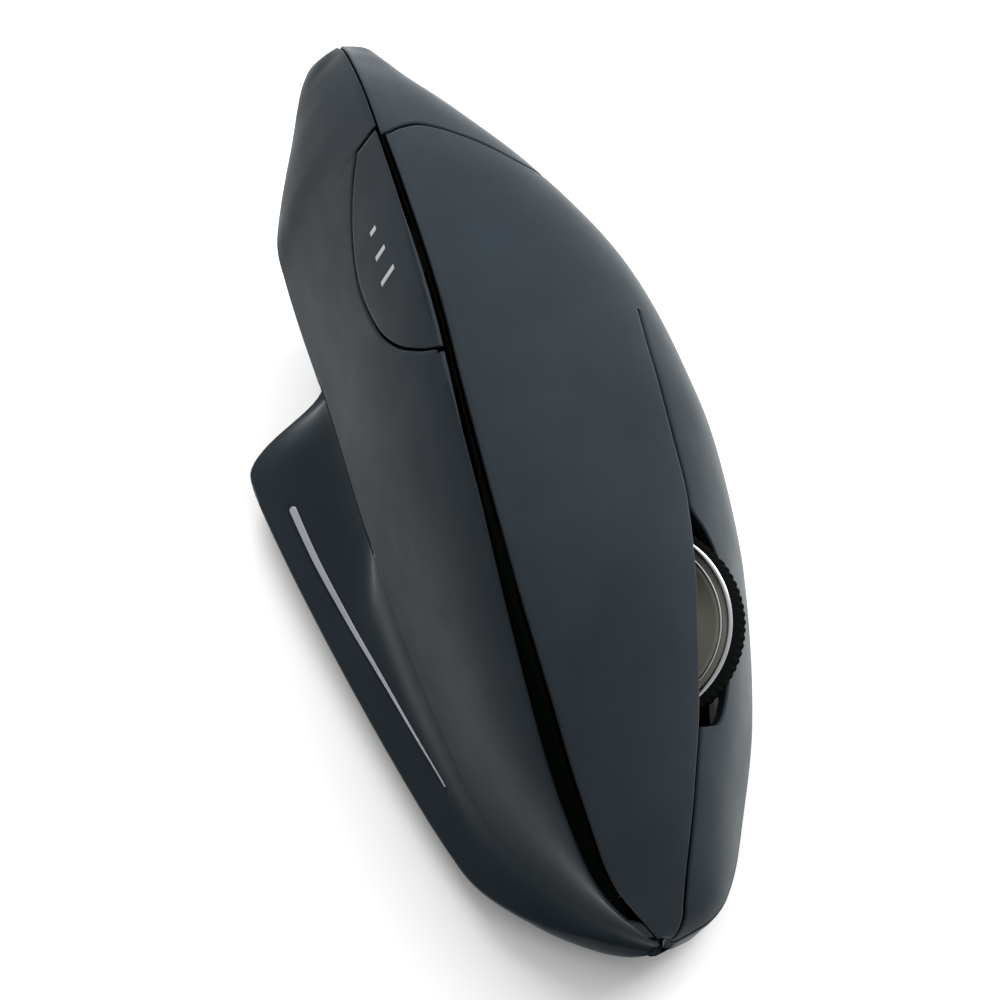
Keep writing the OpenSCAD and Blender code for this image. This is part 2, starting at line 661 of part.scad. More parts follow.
module ear(side) {
    edge = side > 0 ? slot_hi : slot_lo;
    foot = side * (ear_x + ear_t / 2);
    low = (deck_z - foot * sin(wheel_lean)) / cos(wheel_lean);
    foot_x = foot * cos(wheel_lean) - low * sin(wheel_lean);
    difference() {
        in_wheel()
            hull() {
                translate([foot, -rocker_l, pivot_z]) rod(bar_l, ear_t);
                translate([foot, -rocker_l, low]) block([ear_t, bar_l, deck_t]);
            }
        in_wheel() translate([foot, -rocker_l, pivot_z]) rod(pin_d + 2 * fit, 2 * ear_t);
    }
    in_keys()
        translate([(foot_x + edge) / 2 + side * ear_t / 2, -rocker_l, deck_z + embed])
        block([abs(edge - foot_x) + ear_t, bar_l - 2 * embed, deck_t - 2 * embed]);
}
module chassis() {
    color("#3a3d42") {
        in_keys() translate([0, 0, deck_z]) linear_extrude(deck_t) key_outline();
        for (side = [-1, 1])
            ear(side);
        for (l = legs)
            leg(l[0], leg_foot(l));
    }
}

// Switches: a body with a bored top, and the plunger that slides in it.
plunger_in = 1.5;
plunger_way = 0.8;
module switch_body(size, d) {
    difference() {
        block(size);
        translate([0, 0, size.z - plunger_in - plunger_way])
            cylinder(d = d + 2 * fit, h = plunger_in + plunger_way + 1);
    }
}
module key_switch(x) {
    color("#202124")
        in_keys()
        translate([x, switch_y, board_z])
        difference() {
            block([switch_w, switch_l, switch_h]);
            translate([0, plunger_y, switch_h - plunger_in - plunger_way])
                cylinder(d = plunger_d + 2 * fit, h = plunger_in + plunger_way + 1);
        }
}
module key_plunger(x, top) {
    color("#c2452f")
        in_keys()
        translate([x, switch_y + plunger_y, board_z + switch_h - plunger_in])
        cylinder(d = plunger_d, h = top - board_z - switch_h + plunger_in);
}
module primary_switch() key_switch(primary_x);
module primary_plunger() key_plunger(primary_x, primary_top);
module secondary_switch() key_switch(secondary_x);
module secondary_plunger() key_plunger(secondary_x, secondary_top);
module tact_switch() {
    color("#202124") switch_body([tact_w, tact_w, tact_h], tact_d);
}
module tact_plunger() {
    color("#d9d6cc") translate([0, 0, tact_h - plunger_in]) cylinder(d = tact_d, h = plunger_in + tact_out);
}
module at_middle() {
    in_keys() translate([middle_x, tab_y, board_z]) children();
}
module middle_switch() at_middle() tact_switch();
module middle_plunger() at_middle() tact_plunger();

// Frame of the tab beside the ridge: x towards the ridge, y to the nose, z out of the shell.
dpi_s = -0.36;
dpi_c = -0.19;
dpi_gap = 0.4;
dpi_z = normal_at(dpi_s, dpi_c);
dpi_run = at(dpi_s + diff_s, dpi_c) - at(dpi_s - diff_s, dpi_c);
dpi_y = unit(dpi_run - (dpi_run * dpi_z) * dpi_z);
dpi_x = cross(dpi_y, dpi_z);
dpi_o = sunk(dpi_s, dpi_c, wall + dpi_gap + tact_out + tact_h);
module in_dpi_frame() {
    in_frame(dpi_o, dpi_x, dpi_y, dpi_z) children();
}
module dpi_switch() in_dpi_frame() tact_switch();
module dpi_plunger() in_dpi_frame() tact_plunger();

// Battery bay over the base, the cell in it, its contacts and the door below it.
bay_o = [1, -6.5];
cavity_w = cell_d + 2 * bay_gap;
cavity_l = cell_l + 2 * bay_gap + 2 * contact_t;
cell_z = base_top + bay_gap + cell_d / 2;
bay_top = cell_z + cavity_w / 2 + bay_t;
module vault(w, l) {
    intersection() {
        rotate([90, 0, 0]) cylinder(d = w, h = l, center = true);
        block([w, l, w]);
    }
    translate([0, 0, base_top - cell_z]) block([w, l, cell_z - base_top]);
}
module battery_bay() {
    color(inner_c)
        translate([bay_o.x, bay_o.y, cell_z])
        difference() {
            union() {
                vault(cavity_w + 2 * bay_t, cavity_l + 2 * bay_t);
                translate([bracket_x, dpi_s * half_l - bay_o.y, 0])
                    block([bracket_w, bracket_w, bay_top - cell_z]);
            }
            vault(cavity_w, cavity_l);
            translate([0, 0, base_top - cell_z - 1]) block([cavity_w, cavity_l, 1 + bay_gap]);
        }
}
module battery_cell() {
    color("#b9a14a")
        translate([bay_o.x, bay_o.y, cell_z])
        rotate([90, 0, 0])
        cylinder(d = cell_d, h = cell_l, center = true);
}
contact_w = cell_d * 0.6;
contact_h = cell_d * 0.8;
module battery_contacts() {
    color("#c9cbcf")
        for (side = [-1, 1])
            translate([bay_o.x, bay_o.y + side * (cavity_l - contact_t) / 2, cell_z - contact_h / 2])
                block([contact_w, contact_t, contact_h]);
}
door_w = cavity_w - 2 * clear;
door_l = cavity_l;
module battery_door() {
    color(inner_c)
        translate([bay_o.x, bay_o.y, foot_h])
        block([door_w, door_l, base_t]);
}
bracket_w = 8;
bracket_x = 3;
module dpi_bracket() {
    color("#3a3d42")
        hull() {
            translate([bay_o.x + bracket_x, dpi_s * half_l, bay_top]) block([bracket_w, bracket_w, 1]);
            in_dpi_frame() translate([0, 0, -board_t - 2]) block([bracket_w, bracket_w, 2]);
        }
}
module dpi_board() {
    color("#1f5b3a")
        in_dpi_frame()
        translate([0, 0, -board_t])
        block([tact_w + 2 * margin, tact_w + 4 * margin, board_t]);
}

// Main board over the optical sensor, on pillars of the base.
sensor_o = [5, 31.5];
window_w = 6;
lens_t = 2.2;
lens_size = [4, 9];
main_size = [10, 13];
main_o = [5, 33.8];
main_z = base_top + lens_t + clear;
pillar_d = 2.4;
chip_size = [9, 9.5, 3];
module sensor_lens() {
    color("#d7e3ea")
        translate([sensor_o.x, sensor_o.y, base_top]) {
            block([lens_size.x, lens_size.y, lens_t]);
            translate([0, 0, -base_t / 2]) cylinder(d = window_w - 2 * clear, h = base_t);
        }
}
module sensor_chip() {
    color("#17181a")
        translate([sensor_o.x, sensor_o.y, main_z + board_t])
        block(chip_size);
}
module main_board() {
    color("#1f5b3a")
        translate([main_o.x, main_o.y, main_z])
        block([main_size.x, main_size.y, board_t]);
}

// On-off switch beside the bay, worked through a slot in the base.
power_y = 8;
power_in = 4.4;
power_o = [thumb_side(power_y) - power_in, power_y];
power_way = 3;
power_size = [5, 10, 3.6];
knob = [3, 3.6];
neck_w = 1.8;
neck_h = 1.2;
module power_switch() {
    color("#202124")
        translate([power_o.x, power_o.y, base_top])
        difference() {
            block(power_size);
            translate([0, 0, -1])
                block([neck_w + 2 * clear, neck_w + power_way + 2 * clear, 1 + neck_h + clear]);
        }
}
module power_slider() {
    color("#d9d6cc")
        translate([power_o.x, power_o.y - power_way / 2, 0]) {
            translate([0, 0, foot_h + clear]) block([knob.x, knob.y, base_t - 2 * clear]);
            translate([0, 0, foot_h + clear]) block([neck_w, neck_w, base_t - clear + neck_h]);
        }
}

// Base: flat plate with the door opening, sensor window, switch slot and counterbored screw holes.
module base_plate() {
    color(inner_c)
        difference() {
            union() {
                translate([0, 0, foot_h]) linear_extrude(base_t) plate_outline();
                for (dx = [-1, 1], dy = [-1, 1])
                    translate([
                        main_o.x + dx * (main_size.x - pillar_d) / 2,
                        main_o.y + dy * (main_size.y - pillar_d) / 2,
                        base_top - base_t / 2
                    ])
                        cylinder(d = pillar_d, h = main_z - base_top + base_t / 2);
            }
            translate([bay_o.x, bay_o.y, foot_h - 1])
                block([door_w + 2 * clear, door_l + 2 * clear, base_t + 2]);
            translate([sensor_o.x, sensor_o.y, foot_h - 1]) cylinder(d = window_w, h = base_t + 2);
            translate([power_o.x, power_o.y, foot_h - 1])
                block([knob.x + 2 * clear, knob.y + power_way + 2 * clear, base_t + 2]);
            for (l = legs)
                translate([leg_foot(l).x, leg_foot(l).y, foot_h - 1]) {
                    cylinder(d = screw_d + 2 * fit, h = base_t + 2);
                    cylinder(d = head_d + 2 * fit, h = 1 + head_h);
                }
        }
}
module case_screws() {
    color("#9da0a4")
        for (l = legs)
            translate([leg_foot(l).x, leg_foot(l).y, foot_h]) {
                cylinder(d = head_d, h = head_h);
                cylinder(d = screw_d, h = head_h + screw_l);
            }
}
foot_in = 5.8;
foot_y = [40, -4, -16];
feet = [
    [0, foot_y[0], 90],
    [finger_side(foot_y[1]) + foot_in, foot_y[1], 0],
    [thumb_side(foot_y[2]) - foot_in, foot_y[2], 0]
];
module glide_feet() {
    color("#e8e8e6")
        for (f = feet)
            translate([f.x, f.y, 0])
                rotate(f.z)
                linear_extrude(foot_h)
                union() {
                    square([foot_w, foot_l - foot_w], center = true);
                    for (side = [-1, 1])
                        translate([0, side * (foot_l - foot_w) / 2]) circle(d = foot_w);
                }
}

thumb_cover();
rear_cover();
finger_panel();
primary_button();
secondary_button();
dpi_button();
ridge_trim();
accent_inlay();
lower_skirt();
base_plate();
glide_feet();
case_screws();
chassis();
key_board();
primary_switch();
primary_plunger();
secondary_switch();
secondary_plunger();
middle_switch();
middle_plunger();
dpi_bracket();
dpi_board();
dpi_switch();
dpi_plunger();
wheel_rocker();
rocker_pin();
encoder();
wheel_axle();
wheel_hub();
wheel_rims();
wheel_tyre();
main_board();
sensor_chip();
sensor_lens();
battery_bay();
battery_cell();
battery_contacts();
battery_door();
power_switch();
power_slider();
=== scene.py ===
"""Left-handed vertical mouse: moulded shells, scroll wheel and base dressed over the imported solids."""

import json
import logging
import math
from dataclasses import dataclass, field
from enum import Enum
from typing import Callable, Optional, Sequence

import bmesh
import bpy
import numpy as np
from mathutils import Matrix, Vector

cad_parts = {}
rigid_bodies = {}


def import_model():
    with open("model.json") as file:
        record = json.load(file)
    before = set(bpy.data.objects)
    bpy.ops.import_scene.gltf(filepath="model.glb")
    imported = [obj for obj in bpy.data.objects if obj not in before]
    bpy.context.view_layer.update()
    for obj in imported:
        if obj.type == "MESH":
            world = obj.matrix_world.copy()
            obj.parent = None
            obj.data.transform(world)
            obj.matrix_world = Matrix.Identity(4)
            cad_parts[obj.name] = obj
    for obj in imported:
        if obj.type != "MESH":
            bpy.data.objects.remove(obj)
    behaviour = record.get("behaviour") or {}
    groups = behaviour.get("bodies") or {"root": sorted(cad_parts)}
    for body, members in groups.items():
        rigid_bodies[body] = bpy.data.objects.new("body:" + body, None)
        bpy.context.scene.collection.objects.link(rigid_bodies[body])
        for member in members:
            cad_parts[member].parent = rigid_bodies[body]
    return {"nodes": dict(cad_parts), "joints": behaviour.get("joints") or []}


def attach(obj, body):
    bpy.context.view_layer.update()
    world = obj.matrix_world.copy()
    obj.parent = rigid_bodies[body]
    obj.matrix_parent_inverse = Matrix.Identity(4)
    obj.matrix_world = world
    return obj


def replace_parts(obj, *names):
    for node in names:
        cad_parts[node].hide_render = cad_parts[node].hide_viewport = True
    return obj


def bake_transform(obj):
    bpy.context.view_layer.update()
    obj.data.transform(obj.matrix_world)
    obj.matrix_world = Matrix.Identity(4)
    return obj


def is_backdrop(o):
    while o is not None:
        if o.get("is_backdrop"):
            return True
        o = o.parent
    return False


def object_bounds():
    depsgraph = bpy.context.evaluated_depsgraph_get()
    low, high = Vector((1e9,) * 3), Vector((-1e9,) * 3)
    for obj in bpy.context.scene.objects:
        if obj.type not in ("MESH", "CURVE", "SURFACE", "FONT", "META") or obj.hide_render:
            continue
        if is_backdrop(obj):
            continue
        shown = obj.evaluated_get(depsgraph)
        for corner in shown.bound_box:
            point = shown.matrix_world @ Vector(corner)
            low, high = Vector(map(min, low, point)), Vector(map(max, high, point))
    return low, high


LOG = logging.getLogger("mouse")
MM = 0.001
MERGE = 1e-7
Color = Triple = tuple[float, float, float]
Knots = tuple[tuple[float, float], ...]
Edge = Callable[[np.ndarray], np.ndarray]
Carve = Callable[[np.ndarray, np.ndarray], np.ndarray]
Profile = Sequence[tuple[float, float]]
Tree = bpy.types.NodeTree
Socket = bpy.types.NodeSocket


def feed(tree: Tree, socket: Socket, value: object) -> None:
    """Links an output to an input, or sets the input to a plain value.

    Args:
        tree: Tree that holds the input.
        socket: The input.
        value: An output of another node, or a value.
    """
    if isinstance(value, Socket):
        tree.links.new(value, socket)
    else:
        socket.default_value = value


def add_node(tree: Tree, kind: str, **inputs: object) -> bpy.types.Node:
    """Adds a node and fills its inputs.

    Args:
        tree: Tree that takes the node.
        kind: Type of the node.
        inputs: Outputs or values by the input's name, with an underscore for a space.

    Returns:
        The new node.
    """
    node = tree.nodes.new(kind)
    for name, value in inputs.items():
        feed(tree, node.inputs[name.replace("_", " ")], value)
    return node


def add_math(tree: Tree, operation: str, first: object, second: object) -> Socket:
    """Adds a math node of two terms.

    Args:
        tree: Tree that takes the node.
        operation: Blender's name of the operation.
        first: Output or value of the first term.
        second: Output or value of the second term.

    Returns:
        The result.
    """
    node = tree.nodes.new("ShaderNodeMath")
    node.operation = operation
    feed(tree, node.inputs[0], first)
    feed(tree, node.inputs[1], second)
    return node.outputs[0]


def new_object(name: str, data: bpy.types.ID) -> bpy.types.Object:
    """Makes an object of a mesh, a lamp or a camera.

    Args:
        name: Name of the object.
        data: What the object shows.

    Returns:
        The new object, linked to the scene.
    """
    made = bpy.data.objects.new(name, data)
    bpy.context.scene.collection.objects.link(made)
    return made


class Texture(Enum):
    """Kinds of fine relief that a finish can have."""

    GRAIN = "grain"
    BRUSHED = "brushed"
    SMOOTH = "smooth"


@dataclass(frozen=True)
class Finish:
    """One surface finish, made as a node material on Object coordinates.

    Sizes are in millimetres and shares are of one.
    """

    name: str
    color: Color
    roughness: float
    slot: str
    metallic: float = 0.0
    specular: float = 0.5
    # These three fields paint a pale highlight into the base colour where the surface is seen edge-on: painted
    # highlight.
    painted_sheen: float = 0.0
    painted_sheen_power: float = 6.0
    painted_sheen_color: Color = (0.92, 0.98, 1.0)
    texture: Texture = Texture.GRAIN
    grain: float = 0.2
    relief: float = 0.02
    mottle: float = 0.08
    patch: float = 9.0
    uneven: float = 0.05
    alpha: float = 1.0
    spread: tuple[float, float] = (0.3, 0.7)
    stroke: Triple = (1.0, 0.05, 1.0)

    def material(self) -> bpy.types.Material:
        """Builds the node material, or returns the one already built.

        Returns:
            The material of this finish.
        """
        found = bpy.data.materials.get(self.name)
        if found:
            return found
        made = bpy.data.materials.new(self.name)
        made.use_nodes = True
        tree = made.node_tree
        place = tree.nodes.new("ShaderNodeTexCoord").outputs["Object"]
        looks = {"Metallic": self.metallic, "Specular IOR Level": self.specular, "Alpha": self.alpha,
                 "Base Color": self._tint(tree, place), "Roughness": self._wear(tree, place)}
        if self.texture is not Texture.SMOOTH:
            looks["Normal"] = self._relief(tree, place)
        for name, value in looks.items():
            feed(tree, tree.nodes["Principled BSDF"].inputs[name], value)
        return made

    @staticmethod
    def _noise(tree: Tree, place: Socket, size: float, detail: float) -> Socket:
        """Adds a noise with features of the given size in millimetres."""
        return add_node(tree, "ShaderNodeTexNoise", Vector=place, Scale=1.0 / (size * MM), Detail=detail).outputs[0]

    def _tint(self, tree: Tree, place: Socket) -> Socket:
        """Varies the colour slowly over the surface, and adds the painted highlight at grazing angles where the finish
        has one.

        Args:
            tree: Tree of the material.
            place: Coordinates of the surface.

        Returns:
            The colour.
        """
        ramp = add_node(tree, "ShaderNodeValToRGB", Fac=self._noise(tree, place, self.patch, 3.0))
        for stop, at, share in zip(ramp.color_ramp.elements, self.spread, (1.0 - self.mottle, 1.0 + self.mottle)):
            stop.position = at
            stop.color = (*(min(1.0, c * share) for c in self.color), 1.0)
        shade = ramp.outputs["Color"]
        return self._paint_sheen(tree, shade) if self.painted_sheen > 0.0 else shade

    def _paint_sheen(self, tree: Tree, shade: Socket) -> Socket:
        """Pales the colour where the surface is seen edge-on: a painted highlight at grazing angles, standing in for a
        soft coating's glow.

        Args:
            tree: Tree of the material.
            shade: Colour of the surface seen face-on.

        Returns:
            The colour with the painted highlight.
        """
        facing = add_node(tree, "ShaderNodeLayerWeight", Blend=0.5).outputs["Facing"]
        share = add_math(tree, "MULTIPLY", add_math(tree, "POWER", facing, self.painted_sheen_power), self.painted_sheen)
        mix = add_node(tree, "ShaderNodeMixRGB", Fac=share, Color1=shade, Color2=(*self.painted_sheen_color, 1.0))
        return mix.outputs["Color"]

    def _wear(self, tree: Tree, place: Socket) -> Socket:
        """Varies the roughness over the surface, as handling does.

        Args:
            tree: Tree of the material.
            place: Coordinates of the surface.

        Returns:
            The roughness.
        """
        span = add_node(tree, "ShaderNodeMapRange", Value=self._noise(tree, place, self.patch * 0.6, 5.0),
                        From_Min=self.spread[0], From_Max=self.spread[1],
                        To_Min=max(0.02, self.roughness - self.uneven), To_Max=min(1.0, self.roughness + self.uneven))
        return span.outputs["Result"]

    def _relief(self, tree: Tree, place: Socket) -> Socket:
        """Adds the fine relief of the moulded or brushed surface.

        Args:
            tree: Tree of the material.
            place: Coordinates of the surface.

        Returns:
            The normal of the relief.
        """
        if self.texture is Texture.BRUSHED:
            place = add_node(tree, "ShaderNodeMapping", Vector=place, Scale=self.stroke).outputs["Vector"]
        height = self._noise(tree, place, self.grain, 2.0)
        bump = add_node(tree, "ShaderNodeBump", Height=height, Strength=0.6, Distance=self.relief * MM)
        return bump.outputs["Normal"]


# The soft-touch colour is paled where it is seen edge-on: painted highlight along the outline.
SOFT_TOUCH = Finish("soft_touch_charcoal", (0.0150, 0.0205, 0.0255), 0.5, "shell", specular=0.03, painted_sheen=0.14)
TRIM_GLOSS = Finish("gloss_black_strip", (0.0012, 0.0015, 0.0015), 0.4, "trim", specular=0.0,
                    texture=Texture.SMOOTH, uneven=0.03)
# Darker than the shell and put on the insides and seam walls of the shells: painted shade in the seams, under the keys
# and in the wheel's slot.
PAINTED_SHADE_LINING = Finish("painted_shade_inside", (0.003, 0.004, 0.0045), 0.6, "shell", specular=0.02)
SATIN_SILVER = Finish("satin_silver_line", (0.32, 0.33, 0.365), 0.4, "silver", metallic=0.6,
                      texture=Texture.BRUSHED, grain=0.08, relief=0.004)
MARK_PRINT = Finish("pale_grey_print", (0.32, 0.33, 0.34), 0.55, "silver", grain=0.08, relief=0.004)
BASE_PLASTIC = Finish("textured_base_plastic", (0.018, 0.0185, 0.02), 0.55, "base", grain=0.35, relief=0.05)
PAD_WAX = Finish("waxy_glide_pad", (0.55, 0.55, 0.53), 0.38, "glide", grain=0.3, relief=0.01)
STEEL = Finish("satin_steel", (0.5, 0.51, 0.53), 0.28, "steel", metallic=1.0, texture=Texture.BRUSHED, grain=0.1,
               relief=0.004)
FRAME_PLASTIC = Finish("moulded_frame_plastic", (0.05, 0.052, 0.056), 0.5, "frame")
BOARD_MASK = Finish("dark_solder_mask", (0.003, 0.008, 0.005), 0.4, "board", specular=0.2, grain=0.5, relief=0.01)
SWITCH_PLASTIC = Finish("black_switch_plastic", (0.015, 0.015, 0.017), 0.45, "switch")
PLUNGER_PLASTIC = Finish("ivory_plunger_plastic", (0.5, 0.46, 0.38), 0.35, "plunger", texture=Texture.SMOOTH)
HUB_SATIN = Finish("brown_grey_hub", (0.17, 0.168, 0.142), 0.36, "hub", specular=0.3, grain=0.25, relief=0.008)
RIM_CHROME = Finish("bright_ring", (0.42, 0.43, 0.44), 0.26, "rim", metallic=1.0, texture=Texture.SMOOTH, uneven=0.03)
TYRE_RUBBER = Finish("black_tyre_rubber", (0.0045, 0.005, 0.005), 0.6, "tyre", specular=0.0, grain=0.15, relief=0.03)
LENS_CLEAR = Finish("clear_lens", (0.8, 0.86, 0.9), 0.06, "lens", texture=Texture.SMOOTH, alpha=0.45)
CELL_SLEEVE = Finish("printed_cell_sleeve", (0.35, 0.25, 0.07), 0.3, "cell", texture=Texture.SMOOTH)


def follow(knots: Knots, s: np.ndarray) -> np.ndarray:
    """Reads a smooth guide line at the given stations.

    Args:
        knots: Pairs of station and value.
        s: Stations to read.

    Returns:
        The value of the line at each station.
    """
    k = np.asarray(knots, float)
    x, y = k[:, 0], k[:, 1]
    v = np.clip(s, x[0], x[-1])
    i = np.clip(np.searchsorted(x, v, side="right") - 1, 0, len(x) - 2)
    order = np.arange(len(x))
    a, b = np.maximum(order - 1, 0), np.minimum(order + 1, len(x) - 1)
    m = (y[b] - y[a]) / (x[b] - x[a])
    h = x[i + 1] - x[i]
    u = (v - x[i]) / h
    return ((2 * u**3 - 3 * u**2 + 1) * y[i] + (u**3 - 2 * u**2 + u) * h * m[i]
            + (3 * u**2 - 2 * u**3) * y[i + 1] + (u**3 - u**2) * h * m[i + 1])


def polar(angle: np.ndarray) -> np.ndarray:
    """Unit vectors at angles in degrees."""
    a = np.radians(angle)
    return np.stack([np.cos(a), np.sin(a)], -1)


@dataclass
class BodyForm:
    """The lofted body: guide lines along it and the curve of each cross-section.

    Sizes are in millimetres. Stations run from -1 at the rear tip to 1 at the nose, and the section
    parameter is 0 on the ridge, 1 on the widest finger line, 2 at the heel, 3 at the sole, -1 on the thumb
    edge, -2 at the flange tip and -3 at the sole again.
    """

    length: float = 110.4
    width: float = 52.6
    height: float = 58.0
    foot: float = 0.6
    wall: float = 1.8
    lip: float = 3.0
    taper_l: float = 16.0
    box: Optional[np.ndarray] = None
    finger_wide: float = 1.065
    flange_wide: float = 0.985
    ridge_x: Knots = ((-1, 0.09), (-0.7, 0.12), (-0.15, 0.215), (0.05, 0.245), (0.42, 0.27), (0.65, 0.26),
                      (0.8, 0.225), (0.93, 0.15), (1, 0))
    ridge_z: Knots = ((-1, 0.745), (-0.97, 0.8), (-0.9, 0.865), (-0.75, 0.935), (-0.5, 0.99), (-0.2, 1), (0.2, 0.93),
                      (0.5, 0.82), (0.76, 0.62), (0.93, 0.42), (1, 0.24))
    finger_x: Knots = ((-1, -0.05), (-0.96, -0.1), (-0.88, -0.21), (-0.75, -0.425), (-0.6, -0.65), (-0.35, -0.92),
                       (-0.05, -1.05), (0.1, -1.06), (0.26, -1.02), (0.55, -0.84), (0.75, -0.64), (0.9, -0.46),
                       (0.97, -0.31), (1, -0.09))
    finger_z: Knots = ((-1, 0.72), (-0.9, 0.65), (-0.75, 0.59), (-0.5, 0.5), (-0.2, 0.41), (0.1, 0.31), (0.5, 0.2),
                       (0.8, 0.16), (1, 0.2))
    heel_x: Knots = ((-1, -0.03), (-0.88, -0.15), (-0.75, -0.36), (-0.6, -0.6), (-0.3, -0.89), (0, -0.98), (0.3, -0.92),
                     (0.55, -0.77), (0.75, -0.59), (0.9, -0.41), (1, -0.09))
    edge_x: Knots = ((-1, 0.215), (-0.96, 0.3), (-0.88, 0.405), (-0.76, 0.575), (-0.68, 0.595), (-0.35, 0.605),
                     (0, 0.635), (0.4, 0.59), (0.65, 0.49), (0.83, 0.27), (0.94, 0.08), (1, -0.05))
    edge_z: Knots = ((-1, 0.725), (-0.96, 0.69), (-0.86, 0.6), (-0.76, 0.46), (-0.64, 0.4), (-0.4, 0.38), (0, 0.38),
                     (0.4, 0.29), (0.75, 0.19), (1, 0.205))
    flange_x: Knots = ((-1, 0.2), (-0.86, 0.3), (-0.75, 0.41), (-0.62, 0.46), (-0.55, 0.55), (-0.47, 0.855),
                       (-0.42, 0.97), (-0.35, 0.985), (0, 0.905), (0.4, 0.77), (0.64, 0.66), (0.72, 0.585),
                       (0.83, 0.395), (0.93, 0.15), (1, -0.06))
    flange_z: Knots = ((-1, 0.34), (-0.86, 0.14), (-0.7, 0.1), (-0.3, 0.1), (0.65, 0.09), (0.83, 0.1), (1, 0.16))
    low_z: Knots = ((-1, 0.64), (-0.96, 0.42), (-0.88, 0.15), (-0.82, 0.04), (-0.74, 0), (0.8, 0), (0.9, 0.03),
                    (0.96, 0.08), (1, 0.16))
    lean: Knots = ((-1, 90), (-0.35, 90), (0, 87), (0.3, 82), (1, 80))
    crown: Knots = ((-1, 12), (-0.94, 40), (-0.8, 40), (-0.5, 26), (0, 15), (1, 15))
    thumb_start: Knots = ((-1, -4), (-0.93, -52), (1, -52))
    thumb_end: Knots = ((-1, -58), (-0.93, -78), (1, -78))
    tuck: Knots = ((-1, 0.2), (-0.75, 0.8), (-0.6, 1), (-0.12, 1), (0.08, 0), (1, 0))
    lip_fade: float = 5.0
    ridge_pull: float = 0.45
    crest_pull: float = 0.35
    wide_pulls: tuple[float, float] = (0.62, 0.5)
    heel_pull: float = 0.3
    scoop_pulls: tuple[float, float] = (0.4, 0.45)
    scoop_turn: tuple[float, float] = (-78, -44)
    tip_turn: float = 166.0
    rim_pulls: Knots = ((0.6, -1.0), (1.5, 0.2))
    probe_t: float = 0.02
    probe_s: float = 0.004

    @property
    def half_l(self) -> float:
        """Half the length of the body."""
        return self.length / 2

    @property
    def half_w(self) -> float:
        """Length that a crossways share of one stands for."""
        return self.width / (self.finger_wide + self.flange_wide)

    def sections(self, s: np.ndarray) -> np.ndarray:
        """Curve points of the sections at the given stations.

        Args:
            s: Stations, one for each row.

        Returns:
            An array of row, stretch, curve point and coordinate.
        """
        w, h = self.half_w, self.height
        top = np.stack([w * follow(self.ridge_x, s), h * follow(self.ridge_z, s)], -1)
        wide = np.stack([w * follow(self.finger_x, s), h * follow(self.finger_z, s)], -1)
        low = self.foot + (h - self.foot) * follow(self.low_z, s)
        heel = np.stack([w * follow(self.heel_x, s), low], -1)
        edge = np.stack([w * follow(self.edge_x, s), h * follow(self.edge_z, s)], -1)
        tip = np.stack([w * follow(self.flange_x, s), np.maximum(h * follow(self.flange_z, s), low + 1)], -1)
        sole = np.stack([tip[:, 0] - self.lip * np.minimum(1, self.lip_fade * (1 - s)), low], -1)
        rise, drop = (top - wide)[:, 1:], (wide[:, 1] - low)[:, None]
        side = polar(follow(self.lean, s))
        finger_l = self.ridge_pull * np.linalg.norm(top - wide, axis=1, keepdims=True)
        thumb_l = self.crest_pull * np.linalg.norm(top - edge, axis=1, keepdims=True)
        scoop_l = np.linalg.norm(edge - tip, axis=1, keepdims=True)
        tucked = polar(self.scoop_turn[0] + self.scoop_turn[1] * follow(self.tuck, s))
        flat = polar(np.full(len(s), self.tip_turn))
        up = np.array([0.0, 1.0])
        start, end = polar(follow(self.thumb_start, s)), polar(follow(self.thumb_end, s))
        stretches = [
            [top, top + finger_l * polar(180 + follow(self.crown, s)), wide + self.wide_pulls[0] * rise * side, wide],
            [wide, wide - self.wide_pulls[1] * drop * side, heel + self.heel_pull * drop * up, heel],
            [heel, (2 * heel + sole) / 3, (heel + 2 * sole) / 3, sole],
            [top, top + thumb_l * start, edge - thumb_l * end, edge],
            [edge, edge + self.scoop_pulls[0] * scoop_l * tucked, tip + self.scoop_pulls[1] * scoop_l * flat, tip],
            [tip, tip + np.array(self.rim_pulls[0]), sole + np.array(self.rim_pulls[1]), sole],
        ]
        return np.stack([np.stack(c, 1) for c in stretches], 1)

    def on(self, sections: np.ndarray, t: np.ndarray) -> np.ndarray:
        """Points of the sections at section parameters.

        Args:
            sections: Sections, one for each row.
            t: Section parameters, a row for each section.

        Returns:
            Crossways and upward coordinates, row by row.
        """
        t = np.where(t > 3, t - 6, np.where(t < -3, t + 6, t))
        part = np.select([t > 2, t > 1, t >= 0, t >= -1, t >= -2], [2, 1, 0, 3, 4], 5)
        u = np.select([t > 2, t > 1, t >= 0, t >= -1, t >= -2], [t - 2, t - 1, t, -t, -t - 1], -t - 2)[..., None]
        c = sections[np.arange(len(sections))[:, None], part]
        return ((1 - u) ** 3 * c[..., 0, :] + 3 * (1 - u) ** 2 * u * c[..., 1, :]
                + 3 * (1 - u) * u**2 * c[..., 2, :] + u**3 * c[..., 3, :])

    def lift(self, flat: np.ndarray, s: np.ndarray) -> np.ndarray:
        """Puts section points in the part's frame.

        Args:
            flat: Crossways and upward coordinates, row by row.
            s: Stations, one for each row.

        Returns:
            Points in millimetres.
        """
        shift = self.half_w * (self.finger_wide - self.flange_wide) / 2
        y = np.broadcast_to((s * self.half_l)[:, None], flat.shape[:-1])
        return np.stack([flat[..., 0] + shift, y, flat[..., 1]], -1)

